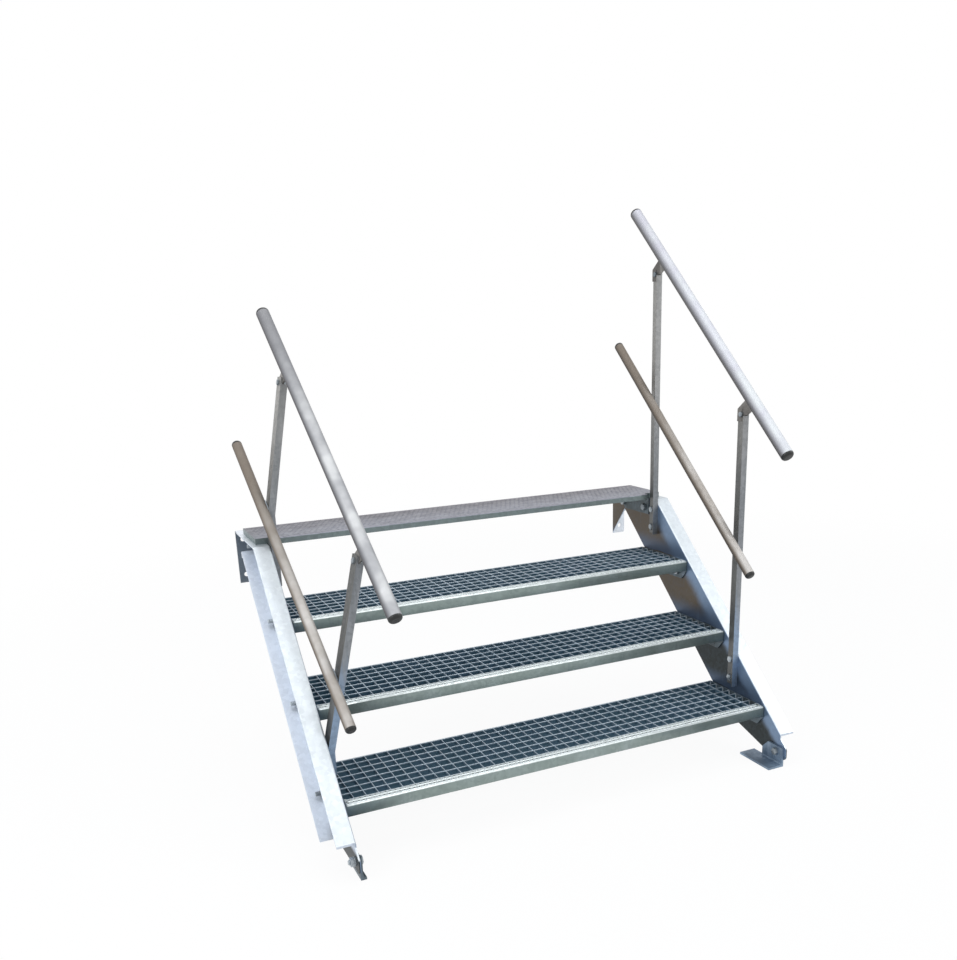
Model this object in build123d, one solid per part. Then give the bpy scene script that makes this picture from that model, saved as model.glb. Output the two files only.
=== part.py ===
"""Outdoor steel stair with three grating treads, a landing plate, folded stringers and two railings.

Millimetres, +X across the stair, +Y towards the wall, +Z up. The stair is laid out from the front
edge of the lowest tread and moved at the end so that the origin lies on the right wall flange.
"""

import math
import os

from build123d import *

# Stair layout
clear_width = 1200.0
half_width = clear_width / 2
going = 186.0
rise = 169.0
tread_count = 3
tread_depth = 240.0
slope = rise / going
slope_angle = math.atan(slope)
slope_cos = math.cos(slope_angle)

# Stringers: folded channels with both flanges outwards
sheet = 4.0
flange_width = 45.0
fold_radius = 5.0
upper_line = 173.0
web_depth = 162.0
lower_line = upper_line - web_depth / slope_cos
flange_front_y = -68.0
nose_y = -93.0
nose_drop = 12.0
nose_radius = 12.0
bottom_z = 42.0
web_cut_ys = {"right": 158.0, "left": 97.0}
web_cut_end_y = -28.0
lower_flange_back_y = 731.0
cut_reach = 20.0
landing_z = 670.0
wall_y = 800.0
tail_z = 518.0
tail_y = 725.0

# Treads
bar_pitch = 30.0
bar_depth = 30.0
bar_thickness = 2.0
cross_depth = 10.0
nosing_width = 29.0
nosing_thickness = 2.5
nosing_lip = 12.0
nosing_fold = 4.0
nosing_inner_fold = 1.5
rear_bar = 3.0
end_plate = 4.0
end_plate_depth = 58.0
end_plate_cuts = (24.0, 42.0)
tread_hole_ys = (45.0, 165.0)
tread_hole_drop = 38.0

# Landing plate: a folded tray that rests on both stringers, cut out around the back posts
landing_half = 632.0
landing_depth = 182.0
landing_height = 16.0
landing_sheet = 3.0
landing_cut = (578.0, 18.0)

# Posts: unequal angles
post_wide = 40.0
post_narrow = 18.0
post_sheet = 4.0
post_front_ys = (122.0, 533.0)
post_foot_zs = (190.0, 562.0)
post_hole_steps = {"right": (20.0, 75.0), "left": (14.0, 44.0)}
post_hole_y = 26.0

# Rail heads: flat plates between a post and the handrail, placed from the head bolt
head_sheet = 5.0
head_bolt_y = 20.0
head_reach = 55.0
head_ends = (-13.0, 27.0)
head_back = 17.0
head_rise = 14.0
head_drop = 19.0
head_clearance = 1.5
leg_stop = 3.0
root_gap = 7.0

# Rails
handrail_radius = 33.7 / 2
handrail_wall = 2.6
knee_radius = 26.9 / 2
knee_wall = 2.3
cap_thickness = 9.0
cap_round = 7.5
cap_plug = 14.0
cap_gap = 0.1

# Ends of the rails, over their caps
right_handrail = ((593.5, 669.2, 1509.0), (593.5, -44.7, 860.3))
right_knee_x = half_width - post_narrow - knee_radius
right_knee = ((right_knee_x, 719.8, 1132.3), (right_knee_x, 45.8, 534.5))
left_handrail = ((-537.9, 659.6, 1254.0), (-464.7, -44.1, 598.9))
left_knee = ((-626.1, 732.7, 920.5), (-563.6, 25.9, 334.0))

# The left posts lean in above a bend
left_bend_zs = (250.0, 750.0)
left_leans = (0.235, 0.195)

# Feet: a flat plate with a bolted tab, given by the plate's width and length
foot_plates = {"right": (50.0, 120.0), "left": (14.0, 80.0)}
foot_sheet = 6.0
foot_front_y = -86.0
foot_z = 24.0
foot_tab_length = 80.0
foot_tab_top = 78.0
foot_tab_slant = 22.0
foot_root = 4.0
foot_bolt = (-60.0, 61.0)

# Wall fixing
wall_hole_zs = (543.0, 645.0)
wall_hole_x = 626.0

# Fasteners: thread, width across flats, head height, nut height
m12 = (6.0, 19.0, 7.5, 10.0)
m10 = (5.0, 17.0, 6.4, 8.0)
m8 = (4.0, 13.0, 5.3, 6.5)
hole_gap = 0.5
washer_thickness = 2.0
washer_margin = 2.0
thread_spare = 4.0
tread_thread_spare = 13.0

# The origin: the middle of the right wall flange, on the face that meets the wall
origin_x = half_width + flange_width / 2
origin_z = (tail_z + landing_z) / 2
to_origin = Pos(-origin_x, -wall_y, -origin_z)


def upper_z(y):
    """Height of the upper edge of the web at a distance y from the first nosing."""
    return upper_line + slope * y


def lower_z(y):
    """Height of the lower edge of the web at a distance y from the first nosing."""
    return lower_line + slope * y


def save(name, shape):
    """Move a piece into the shared frame and write it."""
    export_step(to_origin * shape, f"parts/{name}.step")


def flat_box(x_range, y_range, z_range):
    """A box between three pairs of limits."""
    size = [high - low for low, high in (x_range, y_range, z_range)]
    middle = [(low + high) / 2 for low, high in (x_range, y_range, z_range)]
    return Pos(*middle) * Box(*size)


def side_prism(points, x_low, x_high):
    """A prism whose outline is given in the side view as (y, z) points."""
    outline = make_face(Polyline(*[(x_low, y, z) for y, z in points], close=True))
    return extrude(outline, amount=x_high - x_low, dir=(1, 0, 0))


def rod_x(radius, x_low, x_high, y, z):
    """A round bar along X."""
    start = Plane(origin=(x_low, y, z), x_dir=(0, 1, 0), z_dir=(1, 0, 0))
    return extrude(start * Circle(radius), amount=x_high - x_low)


def hex_x(flats, x_low, x_high, y, z):
    """A hexagonal bar along X."""
    start = Plane(origin=(x_low, y, z), x_dir=(0, 1, 0), z_dir=(1, 0, 0))
    return extrude(start * RegularPolygon(flats / 2, 6, major_radius=False), amount=x_high - x_low)


def bolt_x(size, x_head, x_nut, y, z, spare=thread_spare):
    """A bolt through plates between x_head and x_nut, with some spare thread behind its nut."""
    radius, flats, head, nut = size
    nut_face = x_nut + washer_thickness
    bolt = rod_x(radius, x_head, nut_face + nut + spare, y, z)
    bolt += hex_x(flats, x_head - head, x_head, y, z)
    bolt += rod_x(flats / 2 + washer_margin, x_nut, nut_face, y, z)
    bolt += hex_x(flats, nut_face, nut_face + nut, y, z)
    return bolt


def round_bar(start, end, radius):
    """A solid cylinder between two points."""
    axis = Vector(*end) - Vector(*start)
    return extrude(Plane(origin=start, z_dir=axis) * Circle(radius), amount=axis.length)


def tube(start, end, radius, wall):
    """A round tube between two points."""
    return round_bar(start, end, radius) - round_bar(start, end, radius - wall)


def tube_ends(line):
    """Ends of the tube that lies between the caps of a rail."""
    high, low = [Vector(*point) for point in line]
    step = (low - high).normalized() * cap_thickness
    return high + step, low - step


def cap(tip, inwards, radius, wall):
    """A domed plastic cap on the end of a tube, with its plug inside the tube."""
    axis = (inwards - tip).normalized()
    dome = extrude(Plane(origin=tip, z_dir=-axis) * Circle(radius), amount=cap_thickness)
    rims = dome.edges().filter_by(GeomType.CIRCLE)
    dome = fillet(rims.sort_by_distance(tip - axis * cap_thickness)[:1], cap_round)
    plug = extrude(Plane(origin=tip, z_dir=axis) * Circle(radius - wall - cap_gap), amount=cap_plug)
    return dome + plug


def hole_places(side):
    """Centres of all bolt holes in the web of one side as (y, z, radius)."""
    places = []
    for number in range(tread_count + 1):
        for hole_y in tread_hole_ys:
            height = (number + 1) * rise - tread_hole_drop
            places.append((number * going + hole_y, height, m12[0] + hole_gap))
    for front, foot in zip(post_front_ys, post_foot_zs):
        for step in post_hole_steps[side]:
            places.append((front + post_hole_y, foot + step, m10[0] + hole_gap))
    places.append((foot_bolt[0], foot_bolt[1], m12[0] + hole_gap))
    return places


def make_stringer(side):
    """A stringer with the holes of one side, as it stands on the right.

    It is a web with a flange above, below and at the wall. The web reaches past the flanges at the foot.
    """
    bend_y = (landing_z - upper_line) / slope
    cut_z = lower_z(web_cut_ys[side])
    outline = [
        (nose_y, bottom_z),
        (nose_y, upper_z(nose_y)),
        (bend_y, landing_z),
        (wall_y, landing_z),
        (wall_y, tail_z),
        (tail_y, lower_z(tail_y)),
        (web_cut_ys[side], cut_z),
        (web_cut_end_y, bottom_z),
    ]
    body = side_prism(outline, half_width, half_width + flange_width)
    folds = []
    for edge in body.faces().sort_by(Axis.X)[0].edges():
        middle = edge.center()
        if middle.Y > web_cut_end_y and middle.Z > cut_z + 1:
            folds.append(edge)
    body = fillet(folds, fold_radius)
    drop = sheet / slope_cos
    inner_bend = (landing_z - sheet - upper_line + drop) / slope
    past_nose = nose_y - cut_reach
    below_tail = tail_z - cut_reach
    hollow = [
        (past_nose, upper_z(past_nose) - drop),
        (inner_bend, landing_z - sheet),
        (wall_y - sheet, landing_z - sheet),
        (wall_y - sheet, below_tail),
        (lower_flange_back_y, below_tail),
        (lower_flange_back_y, lower_z(lower_flange_back_y) + drop),
        (past_nose, lower_z(past_nose) + drop),
    ]
    body -= side_prism(hollow, half_width + sheet, half_width + flange_width + 1)
    above = (bottom_z - 1, landing_z)
    body -= flat_box((half_width + sheet, half_width + flange_width + 1), (past_nose, flange_front_y), above)
    nose_cut = [
        (past_nose, upper_z(past_nose) - nose_drop),
        (flange_front_y, upper_z(flange_front_y) - nose_drop),
        (flange_front_y, landing_z),
        (past_nose, landing_z),
    ]
    body -= side_prism(nose_cut, half_width - 1, half_width + flange_width + 1)
    corners = body.edges().filter_by(Axis.X).group_by(Axis.Y)[0]
    body = fillet(corners, nose_radius)
    for y, z, radius in hole_places(side):
        body -= rod_x(radius, half_width - 1, half_width + sheet + 1, y, z)
    for z in wall_hole_zs:
        start = Plane(origin=(wall_hole_x, wall_y + 1, z), z_dir=(0, -1, 0))
        body -= extrude(start * Circle(m12[0] + hole_gap), amount=sheet + 2)
    return body


def make_foot(side):
    """The foot of one side as it stands on the right, with its tab on the inner side of the web."""
    width, length = foot_plates[side]
    plate_top = foot_z + foot_sheet
    tab_back = foot_front_y + foot_tab_length
    inner = half_width - foot_sheet
    tab = [
        (foot_front_y, foot_z),
        (foot_front_y, foot_tab_top),
        (tab_back - foot_tab_slant, foot_tab_top),
        (tab_back, foot_tab_top - foot_tab_slant),
        (tab_back, foot_z),
    ]
    foot = side_prism(tab, inner, half_width)
    plate_ys = (foot_front_y, foot_front_y + length)
    foot += flat_box((half_width - width, half_width), plate_ys, (foot_z, plate_top))
    root = [e for e in foot.edges().filter_by(Axis.Y) if abs(e.center().X - inner) < 0.1]
    root = [e for e in root if abs(e.center().Z - plate_top) < 0.1]
    foot = fillet(root, foot_root)
    return foot - rod_x(m12[0] + hole_gap, inner - 1, half_width + 1, *foot_bolt)


def make_grating(number):
    """Bearing bars across the stair and cross bars along it, with the rear bar."""
    start = number * going
    top = (number + 1) * rise
    ends = (-half_width + end_plate, half_width - end_plate)
    depth = (top - bar_depth, top)
    grid = flat_box(ends, (start + tread_depth - rear_bar, start + tread_depth), depth)
    for step in range(1, round(tread_depth / bar_pitch)):
        middle = start + step * bar_pitch
        sides = (middle - bar_thickness / 2, middle + bar_thickness / 2)
        grid += flat_box(ends, sides, depth)
    lines = round(clear_width / bar_pitch) - 1
    bars = []
    for step in range(lines):
        middle = (step - (lines - 1) / 2) * bar_pitch
        sides = (middle - bar_thickness / 2, middle + bar_thickness / 2)
        length = (start + bar_pitch, start + tread_depth - rear_bar / 2)
        bars.append(flat_box(sides, length, (top - cross_depth, top)))
    return grid.fuse(*bars)


def make_nosing(number):
    """The folded front strip of a tread."""
    start = number * going
    top = (number + 1) * rise
    reach = half_width - end_plate
    outer = flat_box((-reach, reach), (start, start + nosing_width), (top - bar_depth, top))
    edge = outer.edges().filter_by(Axis.X).sort_by(lambda e: e.center().Y - e.center().Z)[:1]
    outer = fillet(edge, nosing_fold)
    across = (-reach - 1, reach + 1)
    back = start + nosing_width + 1
    lowest = top - bar_depth + nosing_thickness
    hollow = flat_box(across, (start + nosing_thickness, back), (lowest, top - nosing_thickness))
    edge = hollow.edges().filter_by(Axis.X).sort_by(lambda e: e.center().Y - e.center().Z)[:1]
    hollow = fillet(edge, nosing_inner_fold)
    open_below = (top - bar_depth - 1, lowest + 1)
    return outer - hollow - flat_box(across, (start + nosing_lip, back), open_below)


def make_end_plates(number):
    """The two bolted end plates of a tread."""
    start = number * going
    top = (number + 1) * rise
    front_cut, back_cut = end_plate_cuts
    outline = [
        (start, top),
        (start + tread_depth, top),
        (start + tread_depth, top - bar_depth),
        (start + tread_depth - back_cut, top - end_plate_depth),
        (start + front_cut, top - end_plate_depth),
        (start, top - bar_depth),
    ]
    plate = side_prism(outline, half_width - end_plate, half_width)
    for hole_y in tread_hole_ys:
        place = (start + hole_y, top - tread_hole_drop)
        plate -= rod_x(m12[0] + hole_gap, half_width - end_plate - 1, half_width + 1, *place)
    return Compound([plate, mirror(plate, Plane.YZ)])


def make_landing():
    """The landing plate, folded down along all its edges."""
    front = tread_count * going
    back = front + landing_depth
    cut_x, cut_y = landing_cut
    top = landing_z + landing_height
    inner_top = top - landing_sheet
    body = flat_box((-landing_half, landing_half), (front, back), (landing_z, top))
    body = fillet(body.edges().filter_by(Axis.X).group_by(Axis.Z)[-1].sort_by(Axis.Y)[:1], landing_sheet)
    inner = (-landing_half + landing_sheet, landing_half - landing_sheet)
    body -= flat_box(inner, (front + landing_sheet, back - landing_sheet), (landing_z - 1, inner_top))
    back_wall = front + cut_y + landing_sheet
    for sign in (-1, 1):
        corner_xs = sorted((sign * (cut_x - landing_sheet), sign * landing_half))
        body += flat_box(corner_xs, (front + landing_sheet, back_wall), (landing_z, inner_top))
        cut_xs = sorted((sign * cut_x, sign * (landing_half + 1)))
        body -= flat_box(cut_xs, (front - 1, front + cut_y), (landing_z - 1, top + 1))
    return body


def make_brackets():
    """The two bolted plates below the landing plate."""
    front = tread_count * going + landing_cut[1] + landing_sheet
    back = tread_count * going + landing_depth - landing_sheet
    top = landing_z + landing_height - landing_sheet
    low = (tread_count + 1) * rise - end_plate_depth
    corner = end_plate_cuts[0]
    outline = [
        (front, top),
        (back, top),
        (back, landing_z - corner),
        (back - corner, low),
        (front, low),
    ]
    plate = side_prism(outline, half_width - end_plate, half_width)
    for y, z, radius in hole_places("right")[2 * tread_count : 2 * tread_count + 2]:
        plate -= rod_x(radius, half_width - end_plate - 1, half_width + 1, y, z)
    return Compound([plate, mirror(plate, Plane.YZ)])


def level_face(corners, height, shift):
    """A level face from (x, y) corners, moved inwards by shift."""
    return make_face(Polyline(*[(x - shift, y, height) for x, y in corners], close=True))


def rising(corners, low, high, lean, shift=0.0):
    """A prism from a level section that leans inwards as it rises."""
    face = level_face(corners, low, shift)
    return extrude(face, amount=(high - low) * math.hypot(1, lean), dir=(-lean, 0, 1))


def make_post(front, foot, steps, bend, lean, bolt_z):
    """A post on the right-hand side, leaning in above the bend. Its narrow leg stops below the head bolt."""
    back = front + post_wide
    inner = half_width - post_sheet
    tip = half_width - post_narrow
    step_y = front + post_sheet
    leg = [(half_width, front), (half_width, back), (inner, back), (inner, front)]
    angle = leg[:3] + [(inner, step_y), (tip, step_y), (tip, front)]
    stop = bolt_z - leg_stop
    post = rising(angle, foot, bend, 0.0)
    post += rising(angle, bend, stop, lean)
    post += rising(leg, stop, bolt_z + head_rise, lean, lean * (stop - bend))
    for step in steps:
        post -= rod_x(m10[0] + hole_gap, inner - 1, half_width + 1, front + post_hole_y, foot + step)
    return post


def head_line(rail, front):
    """Centre of the head bolt, the point above it on the axis of the handrail, and the axis itself.

    All are in the side view.
    """
    start, end = rail
    run = (end[1] - start[1], end[2] - start[2])
    length = math.hypot(*run)
    towards = (run[0] / length, run[1] / length)
    up = (towards[1], -towards[0])
    along = (front + head_bolt_y - start[1] + head_reach * up[0]) / towards[0]
    axis = (start[1] + along * towards[0], start[2] + along * towards[1])
    bolt = (axis[0] - head_reach * up[0], axis[1] - head_reach * up[1])
    return bolt, axis, towards


def make_head(bolt, axis, towards, front):
    """The plate between a post and the handrail, before it leans."""
    back = bolt[0] + head_back
    low = bolt[1] - head_drop
    stop = bolt[1] - leg_stop + head_clearance
    root = front + root_gap
    high, end = head_ends
    outline = [
        (axis[0] + high * towards[0], axis[1] + high * towards[1]),
        (axis[0] + end * towards[0], axis[1] + end * towards[1]),
        (front - head_clearance, stop),
        (root, stop),
        (root, low),
        (back, low),
        (back, bolt[1] + head_rise),
    ]
    face = half_width - post_sheet
    plate = side_prism(outline, face - head_sheet, face)
    return plate - rod_x(m8[0] + hole_gap, face - head_sheet - 1, face + 1, *bolt)


def lean_in(shape, bend, lean):
    """Turn a piece about the bend of a post so that it lies on the leaning face."""
    pivot = Location((half_width - post_sheet, 0, bend))
    turn = Location((0, 0, 0), (0, -math.degrees(math.atan(lean)), 0))
    return pivot * turn * pivot.inverse() * shape


os.makedirs("parts", exist_ok=True)

save("stringer_right", make_stringer("right"))
save("stringer_left", mirror(make_stringer("left"), Plane.YZ))

save("foot_right", make_foot("right"))
save("foot_left", mirror(make_foot("left"), Plane.YZ))

for number in range(tread_count):
    save(f"tread_{number + 1}_grating", make_grating(number))
    save(f"tread_{number + 1}_nosing", make_nosing(number))
    save(f"tread_{number + 1}_end_plates", make_end_plates(number))

save("landing_plate", make_landing())
save("landing_brackets", make_brackets())

tread_bolts = []
bolt_count = 2 * (tread_count + 1)
for y, z, _ in hole_places("right")[:bolt_count]:
    bolt = bolt_x(m12, half_width - end_plate, half_width + sheet, y, z, tread_thread_spare)
    tread_bolts.append(bolt)
save("tread_bolts_right", Compound(tread_bolts))
save("tread_bolts_left", Compound([mirror(bolt, Plane.YZ) for bolt in tread_bolts]))

foot_bolt_right = bolt_x(m12, half_width - foot_sheet, half_width + sheet, *foot_bolt)
save("foot_bolt_right", foot_bolt_right)
save("foot_bolt_left", mirror(foot_bolt_right, Plane.YZ))

post_bolts = {"right": [], "left": []}
for side, bolts in post_bolts.items():
    for y, z, _ in hole_places(side)[bolt_count:-1]:
        bolts.append(bolt_x(m10, half_width - post_sheet, half_width + sheet, y, z))
save("post_bolts_right", Compound(post_bolts["right"]))
save("post_bolts_left", Compound([mirror(bolt, Plane.YZ) for bolt in post_bolts["left"]]))

rails = {"right": (right_handrail, right_knee), "left": (left_handrail, left_knee)}
sizes = {"handrail": (handrail_radius, handrail_wall), "knee_rail": (knee_radius, knee_wall)}
for side, lines in rails.items():
    bars = {}
    for (kind, (radius, wall)), line in zip(sizes.items(), lines):
        high, low = tube_ends(line)
        save(f"{kind}_{side}", tube(high, low, radius, wall))
        caps = [cap(high, low, radius, wall), cap(low, high, radius, wall)]
        save(f"{kind}_caps_{side}", Compound(caps))
        bars[kind] = round_bar(high, low, radius)
    head_bolts = []
    for index, place in enumerate(("front", "back")):
        front = post_front_ys[index]
        bend = left_bend_zs[index]
        lean = left_leans[index] if side == "left" else 0.0
        bolt_place, axis, towards = head_line(lines[0], front)
        post = make_post(front, post_foot_zs[index], post_hole_steps[side], bend, lean, bolt_place[1])
        stretch = math.hypot(1, lean)
        bolt_place, axis = [(y, bend + (z - bend) * stretch) for y, z in (bolt_place, axis)]
        head = lean_in(make_head(bolt_place, axis, towards, front), bend, lean)
        bolt = bolt_x(m8, half_width - post_sheet - head_sheet, half_width, *bolt_place)
        if side == "left":
            bolt = mirror(bolt, Plane.YZ.offset(half_width - (post_sheet + head_sheet) / 2))
        bolt = lean_in(bolt, bend, lean)
        hole = rod_x(m8[0] + hole_gap, half_width - post_narrow, half_width + post_narrow, *bolt_place)
        post -= lean_in(hole, bend, lean)
        if side == "left":
            post, head, bolt = [mirror(piece, Plane.YZ) for piece in (post, head, bolt)]
        save(f"post_{side}_{place}", post - bars["knee_rail"])
        save(f"rail_head_{side}_{place}", head - bars["handrail"])
        head_bolts.append(bolt)
    save(f"head_bolts_{side}", Compound(head_bolts))
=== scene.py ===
"""Looks of the outdoor steel stair: treads, landing, stringers, railings, bolts, studio and camera.

Shapes are laid out in the stair's own millimetres, with X across, Y towards the wall and Z up from
the ground, and are moved into the shared frame when they become objects.
"""

import logging
import math
from collections.abc import Iterable
from dataclasses import dataclass
from enum import Enum
from functools import cached_property

import bmesh
import bpy
from mathutils import Matrix, Vector


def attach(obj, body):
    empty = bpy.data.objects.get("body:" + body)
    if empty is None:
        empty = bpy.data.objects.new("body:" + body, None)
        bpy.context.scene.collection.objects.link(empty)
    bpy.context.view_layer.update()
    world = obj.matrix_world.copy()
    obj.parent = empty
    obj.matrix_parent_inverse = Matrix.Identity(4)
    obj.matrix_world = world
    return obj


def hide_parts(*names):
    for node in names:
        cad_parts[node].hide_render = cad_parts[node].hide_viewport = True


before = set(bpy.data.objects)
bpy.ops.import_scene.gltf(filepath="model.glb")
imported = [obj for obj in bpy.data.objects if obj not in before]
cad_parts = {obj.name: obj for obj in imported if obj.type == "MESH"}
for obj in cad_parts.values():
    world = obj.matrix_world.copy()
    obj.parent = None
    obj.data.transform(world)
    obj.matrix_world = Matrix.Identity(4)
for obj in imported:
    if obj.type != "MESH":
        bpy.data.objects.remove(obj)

LOG = logging.getLogger("stair")

Colour = tuple[float, float, float]
Point = tuple[float, float, float]

FRAME_ORIGIN = Vector((622.5, 800.0, 594.0))
TO_FRAME = Matrix.Scale(0.001, 4) @ Matrix.Translation(-FRAME_ORIGIN)

HALF_WIDTH = 600.0
GOING = 186.0
RISE = 169.0
TREAD_COUNT = 3
SHEET = 4.0
END_PLATE = 4.0
FOOT_PLATE = 6.0
POST_FRONTS = (122.0, 533.0)
POST_FEET = (190.0, 562.0)


class Slot(Enum):
    """The record's material slots; each new piece is passed one, which is not used."""

    GRATING = "galvanised_grating"
    NOSING = "galvanised_nosing"
    LANDING = "galvanised_landing"
    ANGLE = "galvanised_angle"
    TUBE = "galvanised_tube"
    BOLT = "zinc_bolt"
    CAP = "black_cap"


class Side(Enum):
    """A side of the stair, with the sign of its X."""

    LEFT = -1
    RIGHT = 1

    @property
    def word(self) -> str:
        """The side's word in node names."""
        return self.name.lower()


def linear(red: int, green: int, blue: int) -> Colour:
    """Turn a colour written as 0 to 255 into the scene's linear colour.

    Args:
        red: The red part.
        green: The green part.
        blue: The blue part.

    Returns:
        The linear colour.
    """
    parts = [part / 255 for part in (red, green, blue)]
    return tuple(p / 12.92 if p <= 0.04045 else ((p + 0.055) / 1.055) ** 2.4 for p in parts)


class Value:
    """A number that a node gives out, which Python operators turn into Math nodes."""

    def __init__(self, shader: "Shader", socket: bpy.types.NodeSocket) -> None:
        """Keep the socket and the shader that it belongs to."""
        self.shader = shader
        self.socket = socket

    def _math(self, operation: str, *terms: "Value | float", clamp: bool = False) -> "Value":
        """Add a Math node.

        Args:
            operation: The node's operation.
            terms: Its inputs in order.
            clamp: Whether the result stays between 0 and 1.

        Returns:
            The result.
        """
        settings = {"operation": operation, "use_clamp": clamp}
        return self.shader.node("ShaderNodeMath", settings, dict(enumerate(terms)))

    def __add__(self, other: "Value | float") -> "Value":
        """Sum."""
        return self._math("ADD", self, other)

    def __radd__(self, other: float) -> "Value":
        """Sum with a number first."""
        return self._math("ADD", other, self)

    def __sub__(self, other: "Value | float") -> "Value":
        """Difference."""
        return self._math("SUBTRACT", self, other)

    def __rsub__(self, other: float) -> "Value":
        """Difference with a number first."""
        return self._math("SUBTRACT", other, self)

    def __mul__(self, other: "Value | float") -> "Value":
        """Product."""
        return self._math("MULTIPLY", self, other)

    def __rmul__(self, other: float) -> "Value":
        """Product with a number first."""
        return self._math("MULTIPLY", other, self)

    def __mod__(self, other: float) -> "Value":
        """Rest of a division, from 0 up to the divisor."""
        return self._math("FLOORED_MODULO", self, other)

    def held(self) -> "Value":
        """The value kept between 0 and 1."""
        return self._math("ADD", self, 0.0, clamp=True)

    def size(self) -> "Value":
        """The value without its sign."""
        return self._math("ABSOLUTE", self)

    def ramp(self, low: float, high: float) -> "Value":
        """A smooth step from 0 at low to 1 at high.

        Args:
            low: Where the step starts.
            high: Where it ends.

        Returns:
            The step.
        """
        inputs = {"Value": self, "From Min": low, "From Max": high}
        return self.shader.node("ShaderNodeMapRange", {"interpolation_type": "SMOOTHSTEP"}, inputs)


class Shader:
    """The nodes of a material or a world, with the one method that adds them."""

    def __init__(self, owner: bpy.types.Material | bpy.types.World) -> None:
        """Start with no nodes.

        Args:
            owner: The material or the world.
        """
        self.owner = owner
        owner.use_nodes = True
        self.tree = owner.node_tree
        self.tree.nodes.clear()

    @classmethod
    def of_material(cls, name: str) -> "Shader":
        """Start a new material.

        Args:
            name: The material's name.

        Returns:
            Its shader.
        """
        return cls(bpy.data.materials.new(name))

    @cached_property
    def place(self) -> Value:
        """The place on the piece."""
        return self.node("ShaderNodeTexCoord", output="Object")

    def node(
        self,
        kind: str,
        settings: dict | None = None,
        inputs: dict | None = None,
        output: str | int = 0,
    ) -> Value | None:
        """Add a node.

        Args:
            kind: The node's type.
            settings: Its properties; stops are a ramp's positions and colours.
            inputs: Numbers, colours or values by socket name or number.
            output: The output that is returned.

        Returns:
            The chosen output, if the node has one.
        """
        node = self.tree.nodes.new(kind)
        for name, setting in (settings or {}).items():
            if name == "stops":
                self._fill_ramp(node.color_ramp, setting)
            else:
                setattr(node, name, setting)
        for name, given in (inputs or {}).items():
            socket = node.inputs[name]
            if isinstance(given, Value):
                self.tree.links.new(given.socket, socket)
            elif socket.type == "RGBA":
                socket.default_value = (*given, 1.0)
            else:
                socket.default_value = given
        return Value(self, node.outputs[output]) if node.outputs else None

    @staticmethod
    def _fill_ramp(ramp: bpy.types.ColorRamp, stops: list[tuple[float, Colour]]) -> None:
        """Give a colour ramp its stops.

        Args:
            ramp: The ramp.
            stops: Position and colour of each stop, in order.
        """
        while len(ramp.elements) < len(stops):
            ramp.elements.new(1.0)
        for element, (position, colour) in zip(ramp.elements, stops):
            element.position = position
            element.color = (*colour, 1.0)

    def noise(self, scale: float, detail: float = 3.0, stretch: Point = (1.0, 1.0, 1.0)) -> Value:
        """A cloudy pattern from 0 to 1.

        Args:
            scale: Clouds per metre.
            detail: How many finer layers it has.
            stretch: Factors on the three directions.

        Returns:
            The pattern.
        """
        inputs = {"Vector": self.stretched(stretch), "Scale": scale, "Detail": detail, "Roughness": 0.6}
        return self.node("ShaderNodeTexNoise", None, inputs)

    def stretched(self, stretch: Point) -> Value:
        """The place on the piece with its three directions scaled."""
        inputs = {"Vector": self.place, "Scale": stretch}
        return self.node("ShaderNodeMapping", {"vector_type": "POINT"}, inputs)

    def crystals(self, size: float) -> Value:
        """A random number from 0 to 1 for each zinc crystal.

        Args:
            size: Width of a crystal in metres.

        Returns:
            The pattern.
        """
        inputs = {"Vector": self.place, "Scale": 1 / size}
        cells = self.node("ShaderNodeTexVoronoi", {"feature": "F1"}, inputs, "Color")
        return self.node("ShaderNodeSeparateColor", None, {"Color": cells}, "Red")

    def mix(self, first: Value | Colour, second: Value | Colour, factor: Value | float) -> Value:
        """Blend two colours.

        Args:
            first: The colour at factor 0.
            second: The colour at factor 1.
            factor: The share of the second.

        Returns:
            The blend.
        """
        inputs = {"Factor": factor, 6: first, 7: second}
        return self.node("ShaderNodeMix", {"data_type": "RGBA"}, inputs, 2)

    def axis(self, letter: str) -> Value:
        """One coordinate of the place on the piece, in metres in the shared frame."""
        return self.node("ShaderNodeSeparateXYZ", None, {"Vector": self.place}, letter)

    def facing(self, letter: str) -> Value:
        """One part of the surface's direction, from -1 to 1."""
        normal = self.node("ShaderNodeNewGeometry", output="Normal")
        return self.node("ShaderNodeSeparateXYZ", None, {"Vector": normal}, letter)

    def finish(self, inputs: dict, height: Value | None, depth: float) -> bpy.types.Material:
        """Close the material with its surface.

        Args:
            inputs: Inputs of the surface by name.
            height: Height of the relief from 0 to 1, or none for a smooth surface.
            depth: Depth of the relief in metres.

        Returns:
            The material.
        """
        if height is not None:
            relief = {"Height": height, "Distance": depth, "Strength": 1.0}
            inputs["Normal"] = self.node("ShaderNodeBump", None, relief)
        surface = self.node("ShaderNodeBsdfPrincipled", None, inputs)
        self.node("ShaderNodeOutputMaterial", None, {"Surface": surface})
        return self.owner

    def seen_directly(self) -> Value:
        """Tell the rays that show the surroundings in the picture or in a reflection.

        Returns:
            1 for such rays, else 0.
        """
        kinds = ("Is Camera Ray", "Is Glossy Ray", "Is Transmission Ray")
        camera, glossy, clear = [self.node("ShaderNodeLightPath", output=kind) for kind in kinds]
        return (camera + glossy + clear).held()


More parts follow.
